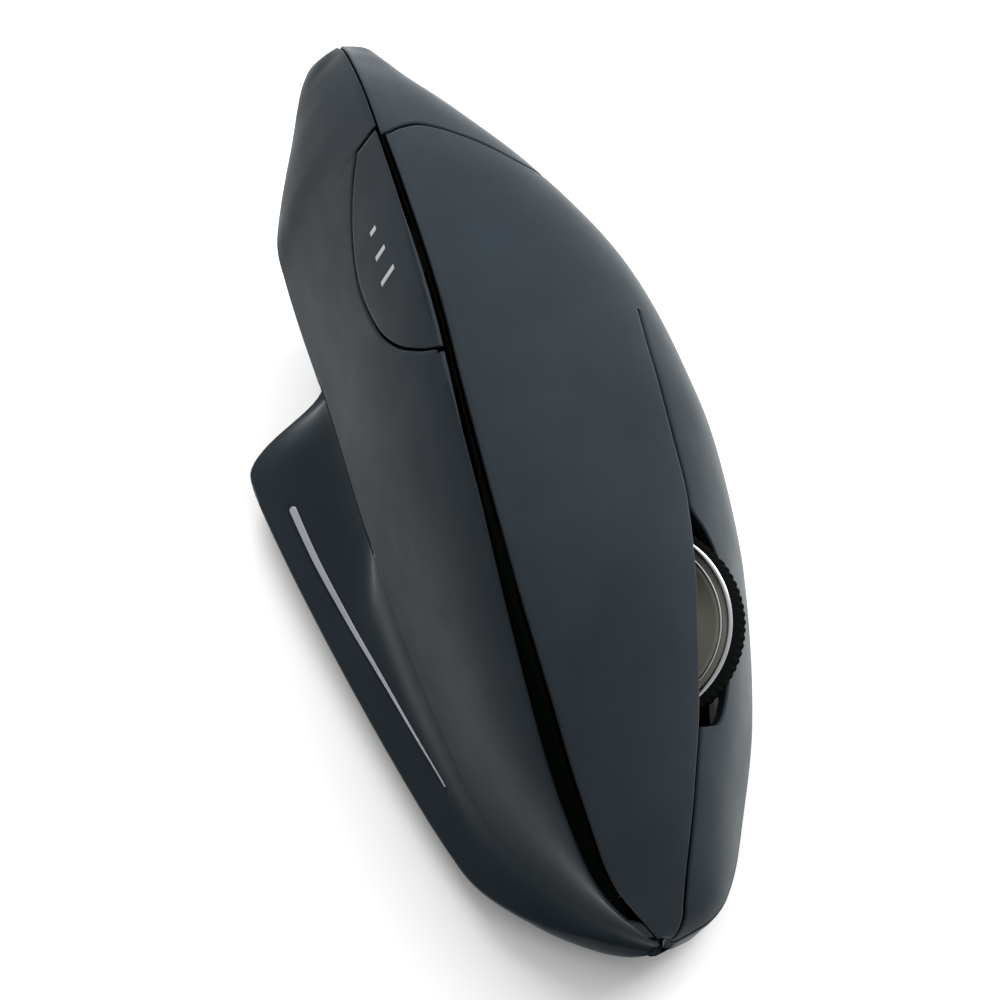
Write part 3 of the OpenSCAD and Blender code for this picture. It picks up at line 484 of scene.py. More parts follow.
    def along(self, s: np.ndarray, t: np.ndarray, mm: np.ndarray) -> np.ndarray:
        """Section parameters that lie a distance along the sections from t.

        Args:
            s: Stations.
            t: Section parameters, one for each station.
            mm: Signed distances, one for each station or one for all.

        Returns:
            The moved section parameters.
        """
        mm = np.broadcast_to(np.asarray(mm, float), t.shape)
        step = np.where(mm < 0, -self.probe_t, self.probe_t)
        st = self.sections(s)
        reach = np.linalg.norm(self.on(st, (t + step)[:, None]) - self.on(st, t[:, None]), axis=-1)[:, 0]
        return t + step * np.abs(mm) / reach

    def points(self, s: np.ndarray, t: np.ndarray, depth: np.ndarray, blur: float = 0.09) -> np.ndarray:
        """Points below the surface, offset along its normal.

        Args:
            s: Stations, one for each row.
            t: Section parameters, a row for each station.
            depth: Depths in millimetres, one for each point.
            blur: Span of the section parameter over which creases are rounded in the normal.

        Returns:
            Points in millimetres.
        """
        st = self.sections(s)
        sa, sb = np.maximum(-1, s - self.probe_s), np.minimum(1, s + self.probe_s)
        run = self.lift(self.on(self.sections(sb), t), sb) - self.lift(self.on(self.sections(sa), t), sa)
        flat = self.on(st, t + blur) - self.on(st, t - blur)
        across = np.stack([flat[..., 0], np.zeros(flat.shape[:-1]), flat[..., 1]], -1)
        normal = np.cross(run, across)
        normal /= np.linalg.norm(normal, axis=-1, keepdims=True)
        p = self.lift(self.on(st, t), s) - depth[..., None] * normal
        p[..., 1] = np.clip(p[..., 1], -self.half_l, self.half_l)
        return p if self.box is None else np.clip(p, self.box[0], self.box[1])

    def taper(self, s: np.ndarray) -> np.ndarray:
        """Share of the full wall that is left towards the nose and the rear tip."""
        return np.clip((1 - np.abs(s)) * self.half_l / self.taper_l, 0.2, 1)


@dataclass
class Seams:
    """The lines that cut the body into shells.

    A field that ends in _s holds stations and one that ends in _t section parameters. Gaps, widths and depths
    are in millimetres.
    """

    form: BodyForm
    seam: float = 0.4
    tab_gap: float = 0.55
    tab_slim: Knots = ((-0.6, 0.4), (-0.57, 0.3), (-0.45, 0.3), (-0.36, 0.5), (-0.28, 0.6), (-0.1, 0.7))
    rear_s: float = -0.645
    hinge_s: float = -0.165
    key_end_s: float = 0.998
    nose_s: float = 0.8
    skirt_t: float = 1.1
    tab_least_t: float = 0.004
    dpi_end_s: float = -0.078
    slit_t: Knots = ((-0.2, 0.6), (-0.08, 0.555), (0.03, 0.535), (0.14, 0.535), (0.26, 0.55), (0.4, 0.545),
                     (0.53, 0.525), (0.7, 0.52), (0.9, 0.47), (0.95, 0.46), (0.972, 0.49), (0.985, 0.6),
                     (0.998, 0.85))
    dpi_t: Knots = ((-0.65, 0.12), (-0.56, 0.24), (-0.46, 0.33), (-0.37, 0.36), (-0.25, 0.31), (-0.17, 0.21),
                    (-0.11, 0.085), (-0.09, 0.03), (-0.078, -0.004))
    trim_finger: Knots = ((-0.65, 0.4), (-0.45, 0.85), (-0.2, 1.35), (0, 1.2), (0.2, 0.95), (0.45, 0.75), (0.65, 0.8),
                          (0.85, 0.35), (0.94, 0.05), (1, 0.6))
    trim_thumb: Knots = ((-0.65, 0.1), (-0.45, -0.5), (-0.2, -1), (0, -0.9), (0.2, -0.4), (0.45, 0.6), (0.65, 1.3),
                         (0.85, 1.95), (0.94, 1.9), (1, 0.5))
    strip_more: Knots = ((-0.1, 0), (0.2, 0.1), (0.5, 0.35), (0.8, 0.7), (0.92, 0.6), (1, 0))
    wrap_s: tuple[float, float] = (0.962, 0.98)
    slot_t: Knots = ((0.262, 0.553), (0.272, 0.556), (0.284, 0.572), (0.302, 0.612), (0.342, 0.675), (0.4, 0.718),
                     (0.475, 0.732), (0.56, 0.722), (0.619, 0.697), (0.655, 0.665), (0.672, 0.62), (0.684, 0.53))
    rear_bow: Knots = ((0, 0.03), (0.04, 0.018), (0.083, 0.002), (0.167, -0.014), (0.26, -0.004), (0.325, 0.012),
                       (0.395, 0.032), (0.46, 0.056), (0.52, 0.08), (0.62, 0.095), (0.8, 0.07), (1.05, 0))
    bow_run: float = 0.24
    accent_line: Knots = ((-0.3, 1.86), (-0.12, 1.86), (0, 1.835), (0.17, 1.772), (0.34, 1.69), (0.48, 1.59))
    accent_s: tuple[float, float] = (-0.29, 0.48)
    crease_t: float = -0.995
    crease_s: tuple[float, float] = (-0.415, 0.004)
    crease_half: float = 0.36
    crease_deep: float = 0.8
    accent_half: float = 0.5
    accent_thin: float = 0.7
    accent_least: float = 0.15
    bed_half: float = 0.22
    bed_deep: float = 0.3
    groove_runs: tuple[float, float] = (0.008, 0.01)
    line_columns: tuple[float, ...] = (-0.05, -0.042, -0.036, -0.031, -0.027, -0.023, -0.019, -0.015, -0.011, -0.007,
                                       -0.003, 0.003, 0.012, 0.025)
    fold_columns: tuple[float, ...] = (-0.03, -0.02, -0.015, -0.0115, -0.008, -0.004, 0, 0.0025, 0.005, 0.0075, 0.01,
                                       0.014, 0.022)

    def trim_lo(self, s: np.ndarray) -> np.ndarray:
        """Thumb edge of the ridge strip."""
        return self.form.along(s, np.zeros(len(s)), -follow(self.trim_thumb, s) - follow(self.strip_more, s))

    def trim_hi(self, s: np.ndarray) -> np.ndarray:
        """Finger edge of the ridge strip."""
        return self.form.along(s, np.zeros(len(s)), follow(self.trim_finger, s))

    def dpi_lo(self, s: np.ndarray) -> np.ndarray:
        """Lower edge of the tab beside the ridge."""
        return np.minimum(-follow(self.dpi_t, s), self.dpi_hi(s) - self.tab_least_t)

    def dpi_hi(self, s: np.ndarray) -> np.ndarray:
        """Ridge edge of the tab beside the ridge."""
        return self.form.along(s, self.trim_lo(s), -self.seam)

    def thumb_hi(self, s: np.ndarray) -> np.ndarray:
        """Upper edge of the thumb cover: the ridge, the tab's gap or the strip's edge.

        Args:
            s: Stations.

        Returns:
            Section parameters.
        """
        stop = self.dpi_end_s + self.tab_gap / self.form.half_l
        tab = self.form.along(s, self.dpi_lo(s), -follow(self.tab_slim, s))
        rear = self.form.along(s, np.zeros(len(s)), -self.seam / 2)
        strip = self.form.along(s, self.trim_lo(s), -self.seam)
        wrap = np.clip((s - self.wrap_s[0]) / (self.wrap_s[1] - self.wrap_s[0]), 0, 1)
        strip = strip + (self.form.along(s, self.key_lo(s), -self.seam / 2) - strip) * wrap**2 * (3 - 2 * wrap)
        return np.where(s < self.rear_s, rear, np.where(s <= stop, tab, strip))

    def accent_width(self, s: np.ndarray) -> np.ndarray:
        """Half width of the silver line, which starts round and thins out.

        Args:
            s: Stations.

        Returns:
            Half widths in millimetres.
        """
        a, b = self.accent_s
        start = np.clip((s - a) * self.form.half_l / self.accent_half, 0, 1)
        width = self.accent_half * (1 - self.accent_thin * np.clip((s - a) / (b - a), 0, 1))
        return width * np.maximum(self.accent_least, np.sqrt(1 - (1 - start) ** 2))

    def accent_lo(self, s: np.ndarray) -> np.ndarray:
        """Lower edge of the silver line."""
        return self.form.along(s, -follow(self.accent_line, s), -self.accent_width(s))

    def accent_hi(self, s: np.ndarray) -> np.ndarray:
        """Upper edge of the silver line."""
        return self.form.along(s, -follow(self.accent_line, s), self.accent_width(s))

    def thumb_tracks(self, s: np.ndarray) -> np.ndarray:
        """Section parameters of the thumb cover's inner columns, close together at its two grooves.

        Args:
            s: Stations, one for each row.

        Returns:
            A row of section parameters for each station.
        """
        line = -follow(self.accent_line, s)
        near = line[:, None] + np.array(self.line_columns)[None, :]
        fold = self.crease_t + np.array(self.fold_columns)
        sole = np.broadcast_to(np.linspace(-3, -2, 15)[1:], (len(s), 14))
        rim = -2 + (near[:, :1] + 2) * np.linspace(0, 1, 6)[None, 1:-1]
        scoop = near[:, -1:] + (fold[0] - near[:, -1:]) * np.linspace(0, 1, 26)[None, 1:-1]
        side = np.linspace(fold[-1], -0.5, 14)[1:]
        top = np.concatenate([fold, side])
        return np.concatenate([sole, rim, near, scoop, np.broadcast_to(top, (len(s), len(top)))], 1)

    def thumb_grooves(self, s: np.ndarray, t: np.ndarray) -> np.ndarray:
        """Depth of the groove under the thumb edge and of the one beside the silver line.

        Args:
            s: Stations, one for each row.
            t: Section parameters, a row for each station.

        Returns:
            Depths in millimetres.
        """
        st = self.form.sections(s)

        def away(line: np.ndarray) -> np.ndarray:
            """Distances along the section from a line.

            Args:
                line: Section parameters of the line, one for each station.

            Returns:
                Signed distances in millimetres.
            """
            step = self.form.probe_t / 2
            ends = [self.form.on(st, line[:, None] + side) for side in (step, -step)]
            return (t - line[:, None]) * np.linalg.norm(ends[0] - ends[1], axis=-1) / self.form.probe_t

        def ramp(ends: tuple[float, float], run: float) -> np.ndarray:
            """One between two stations, falling to nought over a run beyond them."""
            return np.clip(np.minimum(s - ends[0], ends[1] - s) / run + 1, 0, 1)[:, None]

        fold = away(np.full(len(s), self.crease_t)) / self.crease_half
        bed = (away(-follow(self.accent_line, s)) + (self.accent_width(s) + self.bed_half)[:, None]) / self.bed_half
        return (self.crease_deep * np.sqrt(np.clip(1 - fold**2, 0, 1)) * ramp(self.crease_s, self.groove_runs[0])
                + self.bed_deep * np.sqrt(np.clip(1 - bed**2, 0, 1)) * ramp(self.accent_s, self.groove_runs[1]))

    def key_lo(self, s: np.ndarray) -> np.ndarray:
        """Ridge edge of the finger panel and the upper key."""
        return self.form.along(s, self.trim_hi(s), self.seam)

    def slit_hi(self, s: np.ndarray) -> np.ndarray:
        """Lower edge of the upper key, on the slit."""
        return self.form.along(s, follow(self.slit_t, s), -self.seam / 2)

    def slit_lo(self, s: np.ndarray) -> np.ndarray:
        """Upper edge of the lower key, on the slit or past the wheel's slot.

        Args:
            s: Stations.

        Returns:
            Section parameters.
        """
        slit = self.form.along(s, follow(self.slit_t, s), self.seam / 2)
        inside = (s >= self.slot_t[0][0]) & (s <= self.slot_t[-1][0])
        return np.where(inside, np.maximum(slit, follow(self.slot_t, s)), slit)

    def key_hi(self, s: np.ndarray) -> np.ndarray:
        """Lower edge of the finger panel and the lower key."""
        return self.form.along(s, np.full(len(s), self.skirt_t), -self.seam / 2)

    def skirt_lo(self, s: np.ndarray) -> np.ndarray:
        """Upper edge of the skirt under the keys."""
        return self.form.along(s, np.full(len(s), self.skirt_t), self.seam / 2)

    def skirt_hi(self, s: np.ndarray) -> np.ndarray:
        """Lower edge of the skirt, which closes the belly under the nose."""
        belly = self.form.along(s, np.full(len(s), 3.0), -self.seam)
        return np.where(s > self.nose_s, belly, 2.0)

    def arch(self, s: np.ndarray, t: np.ndarray) -> np.ndarray:
        """Shift of the stations by which the seam behind the finger panel is arched.

        Args:
            s: Stations.
            t: Section parameters, one for each station.

        Returns:
            The shift of each station, which fades out away from the seam.
        """
        return follow(self.rear_bow, t) * np.clip(1 - np.abs(s - self.rear_s) / self.bow_run, 0, 1)

    def rear_lo(self, s: np.ndarray) -> np.ndarray:
        """Ridge edge of the rear cover."""
        return self.form.along(s, np.zeros(len(s)), self.seam / 2)

    def rear_hi(self, s: np.ndarray) -> np.ndarray:
        """Sole edge of the rear cover."""
        return self.form.along(s, np.full(len(s), 3.0), -3 * self.seam)


def mesh_object(name: str, points: np.ndarray, faces: Sequence[Sequence[int]], finish: Finish,
                sharp: float = 40.0, painted_shade_from: Optional[int] = None) -> bpy.types.Object:
    """Makes a smooth-shaded mesh object with its faces outwards.

    Args:
        name: Name of the object.
        points: Points in millimetres.
        faces: Point numbers of each face.
        finish: Finish of the whole piece.
        sharp: Angle in degrees past which an edge stays sharp.
        painted_shade_from: Number of the first face that takes the darker lining, painted shade on the inside and the
            seam walls, or none.

    Returns:
        The new object, linked to the scene.
    """
    mesh = bpy.data.meshes.new(name)
    mesh.from_pydata((np.asarray(points).reshape(-1, 3) * MM).tolist(), [], [list(f) for f in faces])
    mesh.materials.append(finish.material())
    # The faces from painted_shade_from on take the darker lining: painted shade.
    if painted_shade_from is not None:
        mesh.materials.append(PAINTED_SHADE_LINING.material())
        mesh.polygons.foreach_set("material_index", [int(i >= painted_shade_from) for i in range(len(faces))])
    return finish_mesh(name, mesh, sharp)


def finish_mesh(name: str, mesh: bpy.types.Mesh, sharp: float = 40.0) -> bpy.types.Object:
    """Cleans a mesh, turns its faces outwards and makes it an object.

    Args:
        name: Name of the object.
        mesh: Mesh in metres, with its materials.
        sharp: Angle in degrees past which an edge stays sharp.

    Returns:
        The new object, linked to the scene.
    """
    work = bmesh.new()
    work.from_mesh(mesh)
    bmesh.ops.remove_doubles(work, verts=work.verts, dist=MERGE)
    bmesh.ops.dissolve_degenerate(work, edges=work.edges, dist=MERGE / 10)
    bmesh.ops.recalc_face_normals(work, faces=work.faces)
    work.to_mesh(mesh)
    work.free()
    mesh.shade_smooth()
    mesh.set_sharp_from_angle(angle=math.radians(sharp))
    made = new_object(name, mesh)
    return made


def grid_faces(rows: int, columns: int) -> tuple[np.ndarray, np.ndarray]:
    """Faces of an outer grid and of the band round it, down to an inner grid with the same points.

    Args:
        rows: Number of rows.
        columns: Number of columns.

    Returns:
        The faces of the outer grid and those of the band.
    """
    k = rows * columns
    at = np.arange(k).reshape(rows, columns)
    skin = np.stack([at[:-1, :-1], at[:-1, 1:], at[1:, 1:], at[1:, :-1]], -1).reshape(-1, 4)
    rim = np.concatenate([at[0, :], at[1:, -1], at[-1, -2::-1], at[-2:0:-1, 0]])
    after = np.roll(rim, -1)
    return skin, np.stack([rim, after, after + k, rim + k], -1)


@dataclass
class Shell:
    """One moulded shell over a patch of the body, with rolled edges and its full wall."""

    name: str
    form: BodyForm
    stations: np.ndarray
    low: Edge
    high: Edge
    columns: int
    finish: Finish = SOFT_TOUCH
    tracks: Optional[Edge] = None
    carve: Optional[Carve] = None
    bow: Optional[Carve] = None
    sink: float = 0.0
    thick: Optional[float] = None
    roll: float = 0.25
    end_roll: float = 0.9
    roll_steps: tuple[int, int] = (4, 9)
    rolled: tuple[bool, bool, bool, bool] = (True, True, True, True)
    closed: tuple[bool, bool] = (False, False)
    least_wall: float = 0.15
    end_hole: float = 0.02
    sharp: float = 60.0

    @staticmethod
    def _corner(radius: float, count: int) -> tuple[np.ndarray, np.ndarray]:
        """Distances from an edge and depths of the points on its rounded corner."""
        a = np.linspace(0, math.pi / 2, count)
        return radius * (1 - np.cos(a)), radius * (1 - np.sin(a))

    def _rows(self) -> tuple[np.ndarray, np.ndarray]:
        """Adds the rows of the rolled or closed ends.

        Returns:
            The stations of all rows and their depths.
        """
        s = self.stations
        depth = np.zeros(len(s))
        for end in (0, 1):
            if not (self.rolled[end] or self.closed[end]):
                continue
            round_off = self.end_roll if self.closed[end] else self.roll
            away, drops = self._corner(round_off, self.roll_steps[self.closed[end]])
            edge = s[-end] + (1 - 2 * end) * away / self.form.half_l
            keep = (s - edge[-1]) * (1 - 2 * end) > 1e-4
            s, depth = np.concatenate([edge, s[keep]]), np.concatenate([drops, depth[keep]])
            order = np.argsort(s)
            s, depth = s[order], depth[order]
        return s, depth

    def _columns(self, s: np.ndarray) -> tuple[np.ndarray, np.ndarray]:
        """Places the columns, with those of the rolled sides added.

        Args:
            s: Stations of the rows.

        Returns:
            Section parameters row by row, and the depth of each column.
        """
        lo, hi = self.low(s), self.high(s)
        away, drops = self._corner(self.roll, self.roll_steps[0])
        head = [self.form.along(s, lo, d) for d in away] if self.rolled[2] else [lo]
        tail = [self.form.along(s, hi, -d) for d in away] if self.rolled[3] else [hi]
        a, b = head[-1], tail[-1]
        inner = []
        if self.tracks is not None:
            fixed = self.tracks(s)
            inner, a = list(fixed.T), fixed[:, -1]
        inner += [a + (b - a) * f for f in np.linspace(0, 1, self.columns)[1:-1]]
        t = np.stack(head + inner + tail[::-1], 1)
        depth = np.zeros(t.shape[1])
        if self.rolled[2]:
            depth[: len(drops)] = drops
        if self.rolled[3]:
            depth[-len(drops):] = drops[::-1]
        return t, depth

    def _place(self, s: np.ndarray, t: np.ndarray, depth: np.ndarray) -> np.ndarray:
        """Places the shell's grid, with the bow of its stations where it has one.

        Args:
            s: Stations of the rows.
            t: Section parameters row by row.
            depth: Depth of each point in millimetres.

        Returns:
            Points in millimetres.
        """
        if self.bow is None:
            return self.form.points(s, t, depth)
        lines = [self.form.points(s + self.bow(s, t[:, k]), t[:, [k]], depth[:, [k]])[:, 0] for k in range(t.shape[1])]
        return np.stack(lines, 1)

    def build(self) -> bpy.types.Object:
        """Makes the shell, with painted shade: its inside and the walls of its seams take a darker colour.

        Returns:
            The new object.
        """
        s, row_depth = self._rows()
        t, col_depth = self._columns(s)
        depth = np.maximum(row_depth[:, None], col_depth[None, :]) + self.sink
        if self.carve is not None:
            depth = depth + self.carve(s, t)
        outer = self._place(s, t, depth)
        wall = self.form.wall if self.thick is None else self.thick
        under = np.broadcast_to((wall * self.form.taper(s))[:, None], t.shape) + self.sink
        inner = self._place(s, t, np.maximum(under, depth + self.least_wall))
        for row, close in ((0, self.closed[0]), (-1, self.closed[1])):
            if close:
                around = np.linspace(-3, 3, 61)[None, :]
                middle = self.form.points(s[[row]], around, np.zeros(around.shape))[0].mean(0)
                inner[row] = middle + self.end_hole * (outer[row] - middle)
        n, m = t.shape
        skin, band = grid_faces(n, m)
        first, last = np.arange(m - 1), np.arange(m - 1) + n + m - 2
        caps = np.zeros(len(band), bool)
        caps[first], caps[last] = self.closed
        faces = np.concatenate([skin, band[caps], band[~caps], skin[:, ::-1] + n * m]).tolist()
        points = np.concatenate([outer.reshape(-1, 3), inner.reshape(-1, 3)])
        return mesh_object(self.name, points, faces, self.finish, self.sharp, len(skin) + int(caps.sum()))


def loft_stations(low: float, high: float, count: int, extra: Sequence[float] = ()) -> np.ndarray:
    """Stations between two ends, closer together towards the body's ends.

    Args:
        low: First station.
        high: Last station.
        count: Number of stations over the whole body.
        extra: Further stations that a line needs.

    Returns:
        The stations in order.
    """
    free = -np.cos(np.linspace(0, math.pi, count))
    fixed = np.array([low, high, *extra])
    near = np.min(np.abs(free[:, None] - fixed[None, :]), axis=1) < 0.001
    inside = (free > low) & (free < high) & ~near
    return np.unique(np.concatenate([free[inside], fixed[(fixed >= low) & (fixed <= high)]]))


@dataclass
class Housing:
    """The moulded shells of the body with the ridge strip and the silver line.

    Each bar of the printed mark is given by its station, its section parameter and its length.
    """

    form: BodyForm = field(default_factory=BodyForm)
    rows: int = 240
    jump: float = 0.002
    hairline: float = 0.003
    key_wall: float = 1.0
    nose_roll: float = 0.3
    tab_wall: float = 0.8
    bars: tuple[tuple[float, float, float], ...] = ((-0.44, -0.175, 1.5), (-0.38, -0.17, 2.6), (-0.32, -0.165, 3.7))
    bar_w: float = 0.6
    ink: float = 0.02
    ink_foot: float = 0.05
    bend_run: float = 8.0
    dense_from: float = -0.2

    def __post_init__(self) -> None:
        """Makes the seam lines of this body."""
        self.seams = Seams(self.form)

    @property
    def hinge(self) -> float:
        """Station at which the keys start."""
        return self.seams.hinge_s - self.seams.seam / self.form.length

    @property
    def front_of_seam(self) -> float:
        """Station at which the panel and the skirt start, in front of the cross seam."""
        return self.seams.rear_s + self.seams.seam / self.form.length

    def _shell(self, name: str, body: str, node: str, s: np.ndarray, low: Edge, high: Edge, columns: int,
               **options: object) -> bpy.types.Object:
        """Makes a shell that rides on one body and stands for one solid.

        Args:
            name: Name of the piece.
            body: The body that it rides on.
            node: The solid that it stands for.
            s: Stations of its rows.
            low: Its first edge.
            high: Its last edge.
            columns: Number of columns.
            options: Further fields of the shell.

        Returns:
            The dressed piece.
        """
        made = Shell(name, self.form, s, low, high, columns, **options).build()
        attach(made, body)
        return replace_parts(made, node)

    def thumb_cover(self) -> bpy.types.Object:
        """Makes the thumb side, from the ridge down the scoop to the flange.

        Returns:
            The dressed piece.
        """
        q = self.seams
        stop = q.dpi_end_s + q.tab_gap / self.form.half_l
        dense = np.linspace(self.dense_from, stop, 30)
        s = loft_stations(-1, 1, self.rows, [q.rear_s - self.jump, q.rear_s, *dense, stop + self.jump])
        return self._shell("thumb_cover_skin", "housing", "thumb_cover", s, lambda v: np.full(len(v), -3.0),
                           q.thumb_hi, 16, tracks=q.thumb_tracks, carve=q.thumb_grooves,
                           rolled=(False, False, False, True), closed=(True, True))

    def rear_cover(self) -> bpy.types.Object:
        """Makes the rear end of the finger side.

        Returns:
            The dressed piece.
        """
        q = self.seams
        s = loft_stations(-1, q.rear_s - q.seam / self.form.length, self.rows)
        return self._shell("rear_cover_skin", "housing", "rear_cover", s, q.rear_lo, q.rear_hi, 110, bow=q.arch,
                           rolled=(False, True, True, False), closed=(True, False))

    def panel(self) -> bpy.types.Object:
        """Makes the finger panel behind the keys.

        Returns:
            The dressed piece.
        """
        q = self.seams
        s = loft_stations(self.front_of_seam, self.hinge - self.hairline / self.form.half_l, self.rows)
        return self._shell("finger_panel_skin", "housing", "finger_panel", s, q.key_lo, q.key_hi, 80, bow=q.arch,
                           rolled=(True, False, True, True))

    def _key(self, name: str, low: Edge, high: Edge, columns: int,
             extra: Sequence[float] = ()) -> bpy.types.Object:
        """Makes a key that carries on from the end of the panel.

        Args:
            name: Name of the piece.
            low: Upper edge of the key.
            high: Lower edge of the key.
            columns: Number of columns.
            extra: Further stations that an edge needs.

        Returns:
            The key.
        """
        s = loft_stations(self.hinge, self.seams.key_end_s, self.rows, extra)
        made = Shell(name, self.form, s, low, high, columns, thick=self.key_wall, end_roll=self.nose_roll,
                     rolled=(False, False, True, True), closed=(False, True)).build()
        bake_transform(made)
        return made

    def upper_key(self) -> bpy.types.Object:
        """Makes the upper key, between the strip and the slit.

        Returns:
            The dressed piece.
        """
        made = self._key("upper_key_skin", self.seams.key_lo, self.seams.slit_hi, 48)
        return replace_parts(made, "primary_button")

    def lower_key(self) -> bpy.types.Object:
        """Makes the lower key, cut out for the wheel.

        Returns:
            The dressed piece.
        """
        q = self.seams
        slot = np.linspace(q.slot_t[0][0], q.slot_t[-1][0], 60)
        made = self._key("lower_key_skin", q.slit_lo, q.key_hi, 40, slot)
        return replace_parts(made, "secondary_button")

    def tab(self) -> bpy.types.Object:
        """Makes the round-ended tab beside the ridge.

        Returns:
            The dressed piece.
        """
        q = self.seams
        dense = np.linspace(self.dense_from, q.dpi_end_s, 24)
        s = loft_stations(q.rear_s + q.seam / self.form.half_l, q.dpi_end_s, self.rows, dense)
        return self._shell("tab_skin", "dpi_key", "dpi_button", s, q.dpi_lo, q.dpi_hi, 26, thick=self.tab_wall)

    def mark(self) -> bpy.types.Object:
        """Makes the printed mark on the tab: three bars, each longer than the last.

        Returns:
            The dressed piece.
        """
        points, faces = [], []
        for s0, t0, long in self.bars:
            wide = self.bar_w / self.form.half_l / 2
            s = np.linspace(s0 - wide, s0 + wide, 5)
            t = np.stack([self.form.along(s, np.full(5, t0), long * f) for f in np.linspace(-0.5, 0.5, 13)], 1)
            top, low = (self.form.points(s, t, np.full(t.shape, d)) for d in (-self.ink, self.ink_foot))
            skin, band = grid_faces(*t.shape)
            faces += (np.concatenate([skin, skin[:, ::-1] + t.size, band]) + len(points)).tolist()
            points += np.concatenate([top.reshape(-1, 3), low.reshape(-1, 3)]).tolist()
        made = mesh_object("tab_mark", np.array(points), faces, MARK_PRINT)
        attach(made, "dpi_key")
        return made

    def skirt(self) -> bpy.types.Object:
        """Makes the low wall under the keys.

        Returns:
            The dressed piece.
        """
        q = self.seams
        s = loft_stations(self.front_of_seam, q.key_end_s, self.rows, [q.nose_s, q.nose_s + self.jump])
        return self._shell("skirt_skin", "housing", "lower_skirt", s, q.skirt_lo, q.skirt_hi, 30,
                           end_roll=self.nose_roll, rolled=(True, False, True, True), closed=(False, True))

    def strip(self) -> bpy.types.Object:
        """Makes the sunk black strip along the ridge.

        Returns:
            The dressed piece.
        """
        q = self.seams
        s = loft_stations(q.rear_s, q.wrap_s[0], self.rows)
        return self._shell("ridge_strip", "housing", "ridge_trim", s, q.trim_lo, q.trim_hi, 14, finish=TRIM_GLOSS,
                           sink=0.35, thick=1.0, roll=0.12)

    def silver_line(self) -> bpy.types.Object:
        """Makes the thin silver line on the flange, round at its rear end.

        Returns:
            The dressed piece.
        """
        q = self.seams
        s = loft_stations(*q.accent_s, self.rows, np.linspace(q.accent_s[0], q.accent_s[0] + 0.02, 10))
        return self._shell("silver_line", "housing", "accent_inlay", s, q.accent_lo, q.accent_hi, 8,
                           finish=SATIN_SILVER, sink=-0.15, thick=0.5, roll=0.1, rolled=(False, False, True, True))

    def build(self) -> None:
        """Makes every shell and reports it."""
        for make in (self.thumb_cover, self.rear_cover, self.panel, self.upper_key, self.lower_key, self.tab,
                     self.mark, self.skirt, self.strip, self.silver_line):
            made = make()
            LOG.info("%s: %d faces", made.name, len(made.data.polygons))


def lathe(profile: Profile, steps: int) -> tuple[np.ndarray, list[list[int]]]:
    """Turns a closed profile about the x axis.

    Args:
        profile: Pairs of place along the axis and radius, in millimetres.
        steps: Number of points round the axis.

    Returns:
        The points and the faces.
    """
    p = np.asarray(profile, float)
    a = np.linspace(0, 2 * math.pi, steps, endpoint=False)
    ring = np.stack([np.broadcast_to(p[None, :, 0], (steps, len(p))), p[None, :, 1] * np.cos(a)[:, None],
                     p[None, :, 1] * np.sin(a)[:, None]], -1)
    n = len(p)
    faces = []
    for i in range(steps):
        j = (i + 1) % steps
        faces += [[i * n + k, i * n + (k + 1) % n, j * n + (k + 1) % n, j * n + k] for k in range(n)]
    return ring.reshape(-1, 3), faces


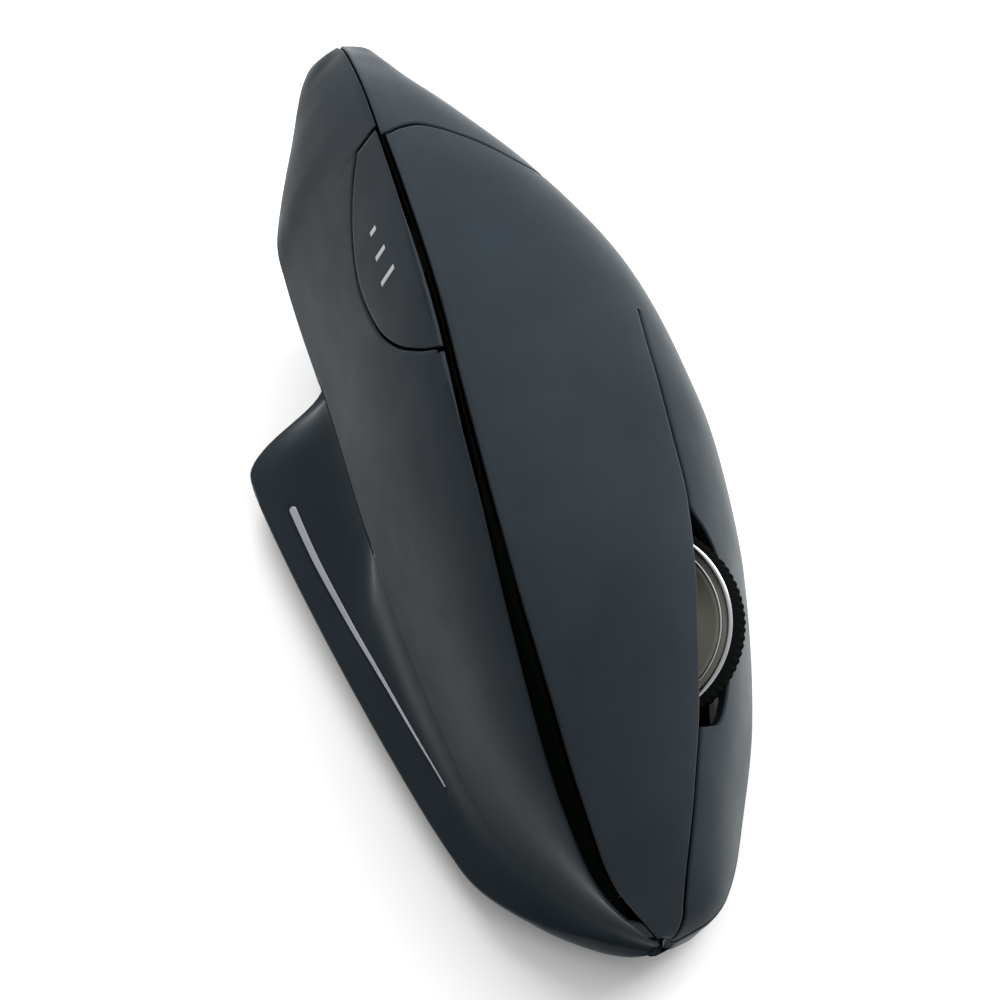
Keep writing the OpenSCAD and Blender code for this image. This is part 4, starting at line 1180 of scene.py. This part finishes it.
@dataclass
class ScrollWheel:
    """The wheel: ribbed rubber tyre, bright rings and dished hub on its axle.

    Sizes are in millimetres. Each bead is given by its drop below the tyre, its width and how far it is sunk,
    and the hub's profile by depths from its face, with drops from its rim and then radii of its boss.
    """

    joint: dict
    diameter: float = 24.2
    width: float = 6.0
    tyre: float = 0.75
    ring: float = 0.7
    ribs: int = 80
    rib_h: float = 0.16
    rib_share: float = 0.58
    rib_sink: float = 0.2
    rib_rise: Profile = ((-0.5, 0.55), (-0.3, 0.92), (0.0, 1.0), (0.3, 0.92), (0.5, 0.55))
    rib_ends: Profile = ((0.0, 0.25), (0.12, 0.75), (0.35, 1.0))
    tyre_edge: float = 0.35
    tyre_inset: float = 0.05
    beads: tuple[Triple, ...] = ((0.0, 0.7, 0.1), (1.3, 0.4, 0.62))
    bead_bulge: float = 0.7
    bead_back: float = 0.5
    hub_gaps: tuple[float, float] = (0.02, 0.55)
    hub_dish: Profile = ((0, 0), (0.1, 0.25), (0.12, 1.2), (0.35, 1.5), (0.8, 2.2), (1.15, 3.4), (1.3, 4.8))
    hub_boss: Profile = ((1.2, 3.6), (0.6, 2.9), (0.1, 2.5), (0, 2.2), (0, 1.25))
    steps: int = 180

    def __post_init__(self) -> None:
        """Finds the wheel's own axes from its joint."""
        x = Vector(self.joint["axis"]).normalized()
        y = Vector((0, 0, 1)).cross(x).normalized()
        z = x.cross(y)
        turn = Matrix((x, y, z)).transposed().to_4x4()
        self.place = Matrix.Translation(Vector(self.joint["pos_m"])) @ turn

    def make_tyre(self) -> bpy.types.Object:
        """Makes the tyre: a turned band, with its ribs set round it by a node tree.

        Returns:
            The tyre in the wheel's place.
        """
        r, w = self.diameter / 2, self.width / 2 - self.tyre_inset
        floor, bore = r - self.rib_h, r - self.tyre - self.ring
        edge = self.tyre_edge
        half = [(w, bore), (w, floor - edge), (w - edge * 0.3, floor - edge * 0.3), (w - edge, floor)]
        points, faces = lathe([(-x, y) for x, y in half] + half[::-1], self.steps)
        ring = mesh_object("wheel_tyre_band", points, faces, TYRE_RUBBER)
        rib = self._rib(2 * math.pi * r / self.ribs * self.rib_share)
        mod = ring.modifiers.new("ribs", "NODES")
        mod.node_group = self._rib_tree(rib)
        sizes = {"Rib Count": self.ribs, "Radius": floor * MM}
        for item in mod.node_group.interface.items_tree:
            if item.item_type == "SOCKET" and item.in_out == "INPUT" and item.name in sizes:
                mod[item.identifier] = sizes[item.name]
        bpy.context.view_layer.update()
        graph = bpy.context.evaluated_depsgraph_get()
        mesh = bpy.data.meshes.new_from_object(ring.evaluated_get(graph), depsgraph=graph)
        for spare in (ring, rib):
            bpy.data.objects.remove(spare)
        mesh.transform(self.place)
        made = new_object("wheel_tyre_ribbed", mesh)
        return made

    def _rib(self, across: float) -> bpy.types.Object:
        """Makes one rib that stands on the band, along the axle, rounded on top.

        Args:
            across: Width of the rib in millimetres.

        Returns:
            The rib, standing on the origin along x.
        """
        half, top = self.width / 2 - 0.25, self.rib_h + 0.01
        rise = [(-0.5, -self.rib_sink), *((y, top * z) for y, z in self.rib_rise), (0.5, -self.rib_sink)]
        ends = [(d - half, share) for d, share in self.rib_ends]
        ends += [(half - d, share) for d, share in reversed(self.rib_ends)]
        points, n = [], len(rise)
        for x, share in ends:
            points += [(x, y * across, z if z < 0 else z * share) for y, z in rise]
        faces = [[i * n + k, i * n + (k + 1) % n, (i + 1) * n + (k + 1) % n, (i + 1) * n + k]
                 for i in range(len(ends) - 1) for k in range(n)]
        faces += [list(range(n)), [(len(ends) - 1) * n + k for k in range(n)]]
        return mesh_object("wheel_rib", np.array(points), faces, TYRE_RUBBER, 60)

    def _rib_tree(self, rib: bpy.types.Object) -> bpy.types.NodeTree:
        """Builds the tree that sets copies of a rib round a circle.

        Args:
            rib: The rib, standing on the origin along x.

        Returns:
            The node tree.
        """
        tree = bpy.data.node_groups.new("ribs_round_the_tyre", "GeometryNodeTree")
        face = tree.interface
        face.new_socket("Geometry", in_out="INPUT", socket_type="NodeSocketGeometry")
        face.new_socket("Rib Count", in_out="INPUT", socket_type="NodeSocketInt")
        face.new_socket("Radius", in_out="INPUT", socket_type="NodeSocketFloat")
        face.new_socket("Geometry", in_out="OUTPUT", socket_type="NodeSocketGeometry")
        take, give = tree.nodes.new("NodeGroupInput"), tree.nodes.new("NodeGroupOutput")
        index = tree.nodes.new("GeometryNodeInputIndex").outputs[0]
        share = add_math(tree, "DIVIDE", index, take.outputs["Rib Count"])
        turn = add_node(tree, "ShaderNodeCombineXYZ", X=add_math(tree, "MULTIPLY", share, 2 * math.pi)).outputs[0]
        out = add_node(tree, "ShaderNodeCombineXYZ", Z=take.outputs["Radius"]).outputs[0]
        spin = tree.nodes.new("ShaderNodeVectorRotate")
        spin.rotation_type = "EULER_XYZ"
        feed(tree, spin.inputs["Vector"], out)
        feed(tree, spin.inputs["Rotation"], turn)
        spots = add_node(tree, "GeometryNodePoints", Count=take.outputs["Rib Count"], Position=spin.outputs[0])
        piece = add_node(tree, "GeometryNodeObjectInfo", Object=rib)
        copies = add_node(tree, "GeometryNodeInstanceOnPoints", Points=spots.outputs[0],
                          Instance=piece.outputs["Geometry"], Rotation=turn)
        join = tree.nodes.new("GeometryNodeJoinGeometry")
        for part in (take, copies):
            feed(tree, join.inputs[0], part.outputs[0])
        real = add_node(tree, "GeometryNodeRealizeInstances", Geometry=join.outputs[0])
        paint = add_node(tree, "GeometryNodeSetMaterial", Geometry=real.outputs[0], Material=TYRE_RUBBER.material())
        feed(tree, give.inputs[0], paint.outputs[0])
        return tree

    def make_rings(self) -> bpy.types.Object:
        """Makes the bright rings: one at each edge of the tyre and a bead inside it.

        Returns:
            The rings in the wheel's place.
        """
        r, w = self.diameter / 2 - self.tyre, self.width / 2
        arc = np.radians(np.linspace(0, 180, 13))
        points, faces = [], []
        for side in (-1, 1):
            for down, wide, sunk in self.beads:
                out, face, half = r - down, w - sunk, wide / 2
                rounded = [(side * (face + self.bead_bulge * half * math.sin(a)), out - half + half * math.cos(a))
                           for a in arc]
                back = side * (face - self.bead_back)
                part, cells = lathe(rounded + [(back, out - wide), (back, out)], self.steps)
                faces += [[c + len(points) for c in f] for f in cells]
                points += part.tolist()
        made = mesh_object("wheel_bright_rings", np.array(points), faces, RIM_CHROME, 50)
        made.data.transform(self.place)
        return made

    def make_hub(self) -> bpy.types.Object:
        """Makes the dished hub between the rings.

        Returns:
            The hub in the wheel's place.
        """
        r, w = self.diameter / 2 - self.tyre - self.ring - self.hub_gaps[0], self.width / 2 - self.hub_gaps[1]
        side = [(w - x, r - d) for x, d in self.hub_dish] + [(w - x, y) for x, y in self.hub_boss]
        points, faces = lathe(side + [(-x, y) for x, y in reversed(side)], 160)
        made = mesh_object("wheel_dished_hub", points, faces, HUB_SATIN, 60)
        made.data.transform(self.place)
        return made

    def build(self) -> None:
        """Makes the wheel's pieces and sets them on its body."""
        for made, node in ((self.make_tyre(), "wheel_tyre"), (self.make_rings(), "wheel_rims"),
                           (self.make_hub(), "wheel_hub")):
            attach(made, "wheel")
            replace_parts(made, node)
            LOG.info("%s: %d faces", made.name, len(made.data.polygons))


@dataclass
class Interior:
    """The solids that keep their own shape and only take a finish."""

    nodes: dict[str, bpy.types.Object]
    finishes: dict[Finish, tuple[str, ...]] = field(default_factory=lambda: {
        BASE_PLASTIC: ("base_plate", "battery_bay", "battery_door"),
        PAD_WAX: ("glide_feet",),
        STEEL: ("case_screws", "rocker_pin", "wheel_axle", "battery_contacts"),
        FRAME_PLASTIC: ("chassis", "dpi_bracket", "wheel_rocker"),
        BOARD_MASK: ("key_board", "dpi_board", "main_board"),
        SWITCH_PLASTIC: ("primary_switch", "secondary_switch", "middle_switch", "dpi_switch", "encoder",
                         "power_switch", "sensor_chip"),
        PLUNGER_PLASTIC: ("primary_plunger", "secondary_plunger", "middle_plunger", "dpi_plunger", "power_slider"),
        LENS_CLEAR: ("sensor_lens",),
        CELL_SLEEVE: ("battery_cell",),
    })

    def build(self) -> None:
        """Gives each solid its finish."""
        for finish, names in self.finishes.items():
            for name in names:
                mesh = self.nodes[name].data
                mesh.materials.clear()
                mesh.materials.append(finish.material())
                LOG.info("%s: %s", name, finish.name)


@dataclass
class Studio:
    """Pale floor, soft lights and the camera at the photograph's angle.

    Each lamp is given by its name, its place and size in metres and its power in watts.
    """

    target: Triple = (1.98, 2.8, 30.0)
    azimuth: float = 161.5
    elevation: float = 62.0
    distance: float = 520.0
    span: float = 117.65
    sky_from: Triple = (-0.85, -0.5, 0.17)
    sky_power: tuple[float, float] = (0.36, 1.25)
    lamps: tuple[tuple[str, Triple, tuple[float, float], float], ...] = (
        ("overhead", (-0.3, -0.15, 1.1), (0.8, 0.8), 2.0),
        ("finger_side", (-0.7, -0.2, 0.5), (0.5, 0.7), 7.5),
        ("behind", (0.0, -0.95, 0.7), (0.7, 0.5), 13.0),
    )
    sensor: float = 36.0
    lit: Triple = (0.0, 0.0, 0.03)
    floor_half: float = 3.0
    floor_z: float = -0.0002
    floor_color: Color = (0.9, 0.9, 0.9)

    def back(self) -> Vector:
        """Direction from the object to the camera."""
        a, e = math.radians(self.azimuth), math.radians(self.elevation)
        return Vector((math.sin(a) * math.cos(e), -math.cos(a) * math.cos(e), math.sin(e)))

    @staticmethod
    def aim(obj: bpy.types.Object, at: Vector) -> None:
        """Turns a camera or a lamp to a place."""
        obj.rotation_euler = (at - obj.location).to_track_quat("-Z", "Y").to_euler()

    def camera(self) -> None:
        """Makes the camera."""
        made = bpy.data.cameras.new("camera")
        made.sensor_width = self.sensor
        made.lens = self.sensor * self.distance / self.span
        made.clip_start, made.clip_end = 0.01, 50.0
        obj = new_object("camera", made)
        at = Vector(self.target) * MM
        obj.location = at + self.back() * self.distance * MM
        self.aim(obj, at)
        bpy.context.scene.camera = obj

    def light(self, name: str, place: Triple, size: tuple[float, float], power: float) -> None:
        """Makes one soft area light that looks at the object.

        Args:
            name: Name of the light.
            place: Place in metres.
            size: Width and height in metres.
            power: Power in watts.
        """
        lamp = bpy.data.lights.new(name, "AREA")
        lamp.shape = "RECTANGLE"
        lamp.size, lamp.size_y = size
        lamp.energy = power
        obj = new_object(name, lamp)
        obj.location = place
        self.aim(obj, Vector(self.lit))

    def floor(self) -> None:
        """Makes the pale floor."""
        mesh = bpy.data.meshes.new("floor")
        corners = [(-1, -1), (1, -1), (1, 1), (-1, 1)]
        mesh.from_pydata([(x * self.floor_half, y * self.floor_half, self.floor_z) for x, y in corners], [],
                         [(0, 1, 2, 3)])
        made = new_object("floor", mesh)
        skin = bpy.data.materials.new("pale_floor")
        skin.use_nodes = True
        shader = skin.node_tree.nodes["Principled BSDF"]
        shader.inputs["Base Color"].default_value = (*self.floor_color, 1.0)
        shader.inputs["Roughness"].default_value = 0.9
        mesh.materials.append(skin)
        made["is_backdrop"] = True

    def sky(self) -> None:
        """Makes the world: white, brightest behind the finger side and dimmer before the thumb side."""
        world = bpy.data.worlds.new("studio")
        bpy.context.scene.world = world
        world.use_nodes = True
        tree = world.node_tree
        toward = tree.nodes.new("ShaderNodeVectorMath")
        toward.operation = "DOT_PRODUCT"
        feed(tree, toward.inputs[0], tree.nodes.new("ShaderNodeTexCoord").outputs["Generated"])
        feed(tree, toward.inputs[1], self.sky_from)
        fade = add_node(tree, "ShaderNodeMapRange", Value=toward.outputs["Value"], From_Min=-1.0,
                        To_Min=self.sky_power[0], To_Max=self.sky_power[1])
        feed(tree, tree.nodes["Background"].inputs["Strength"], fade.outputs["Result"])
        feed(tree, tree.nodes["Background"].inputs["Color"], (1.0, 1.0, 1.0, 1.0))

    def build(self) -> None:
        """Makes the whole studio."""
        self.camera()
        self.floor()
        self.sky()
        for lamp in self.lamps:
            self.light(*lamp)
        bpy.context.scene.view_settings.view_transform = "Standard"


def main() -> None:
    """Loads the solids and dresses them, piece by piece."""
    logging.basicConfig(level=logging.INFO, format="%(name)s: %(message)s")
    for spare in list(bpy.data.objects):
        bpy.data.objects.remove(spare)
    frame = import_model()
    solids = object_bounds()
    Studio().build()
    Housing(BodyForm(box=np.array(solids) / MM)).build()
    ScrollWheel(next(j for j in frame["joints"] if j["name"] == "wheel_spin")).build()
    Interior(frame["nodes"]).build()


if __name__ == "__main__":
    main()
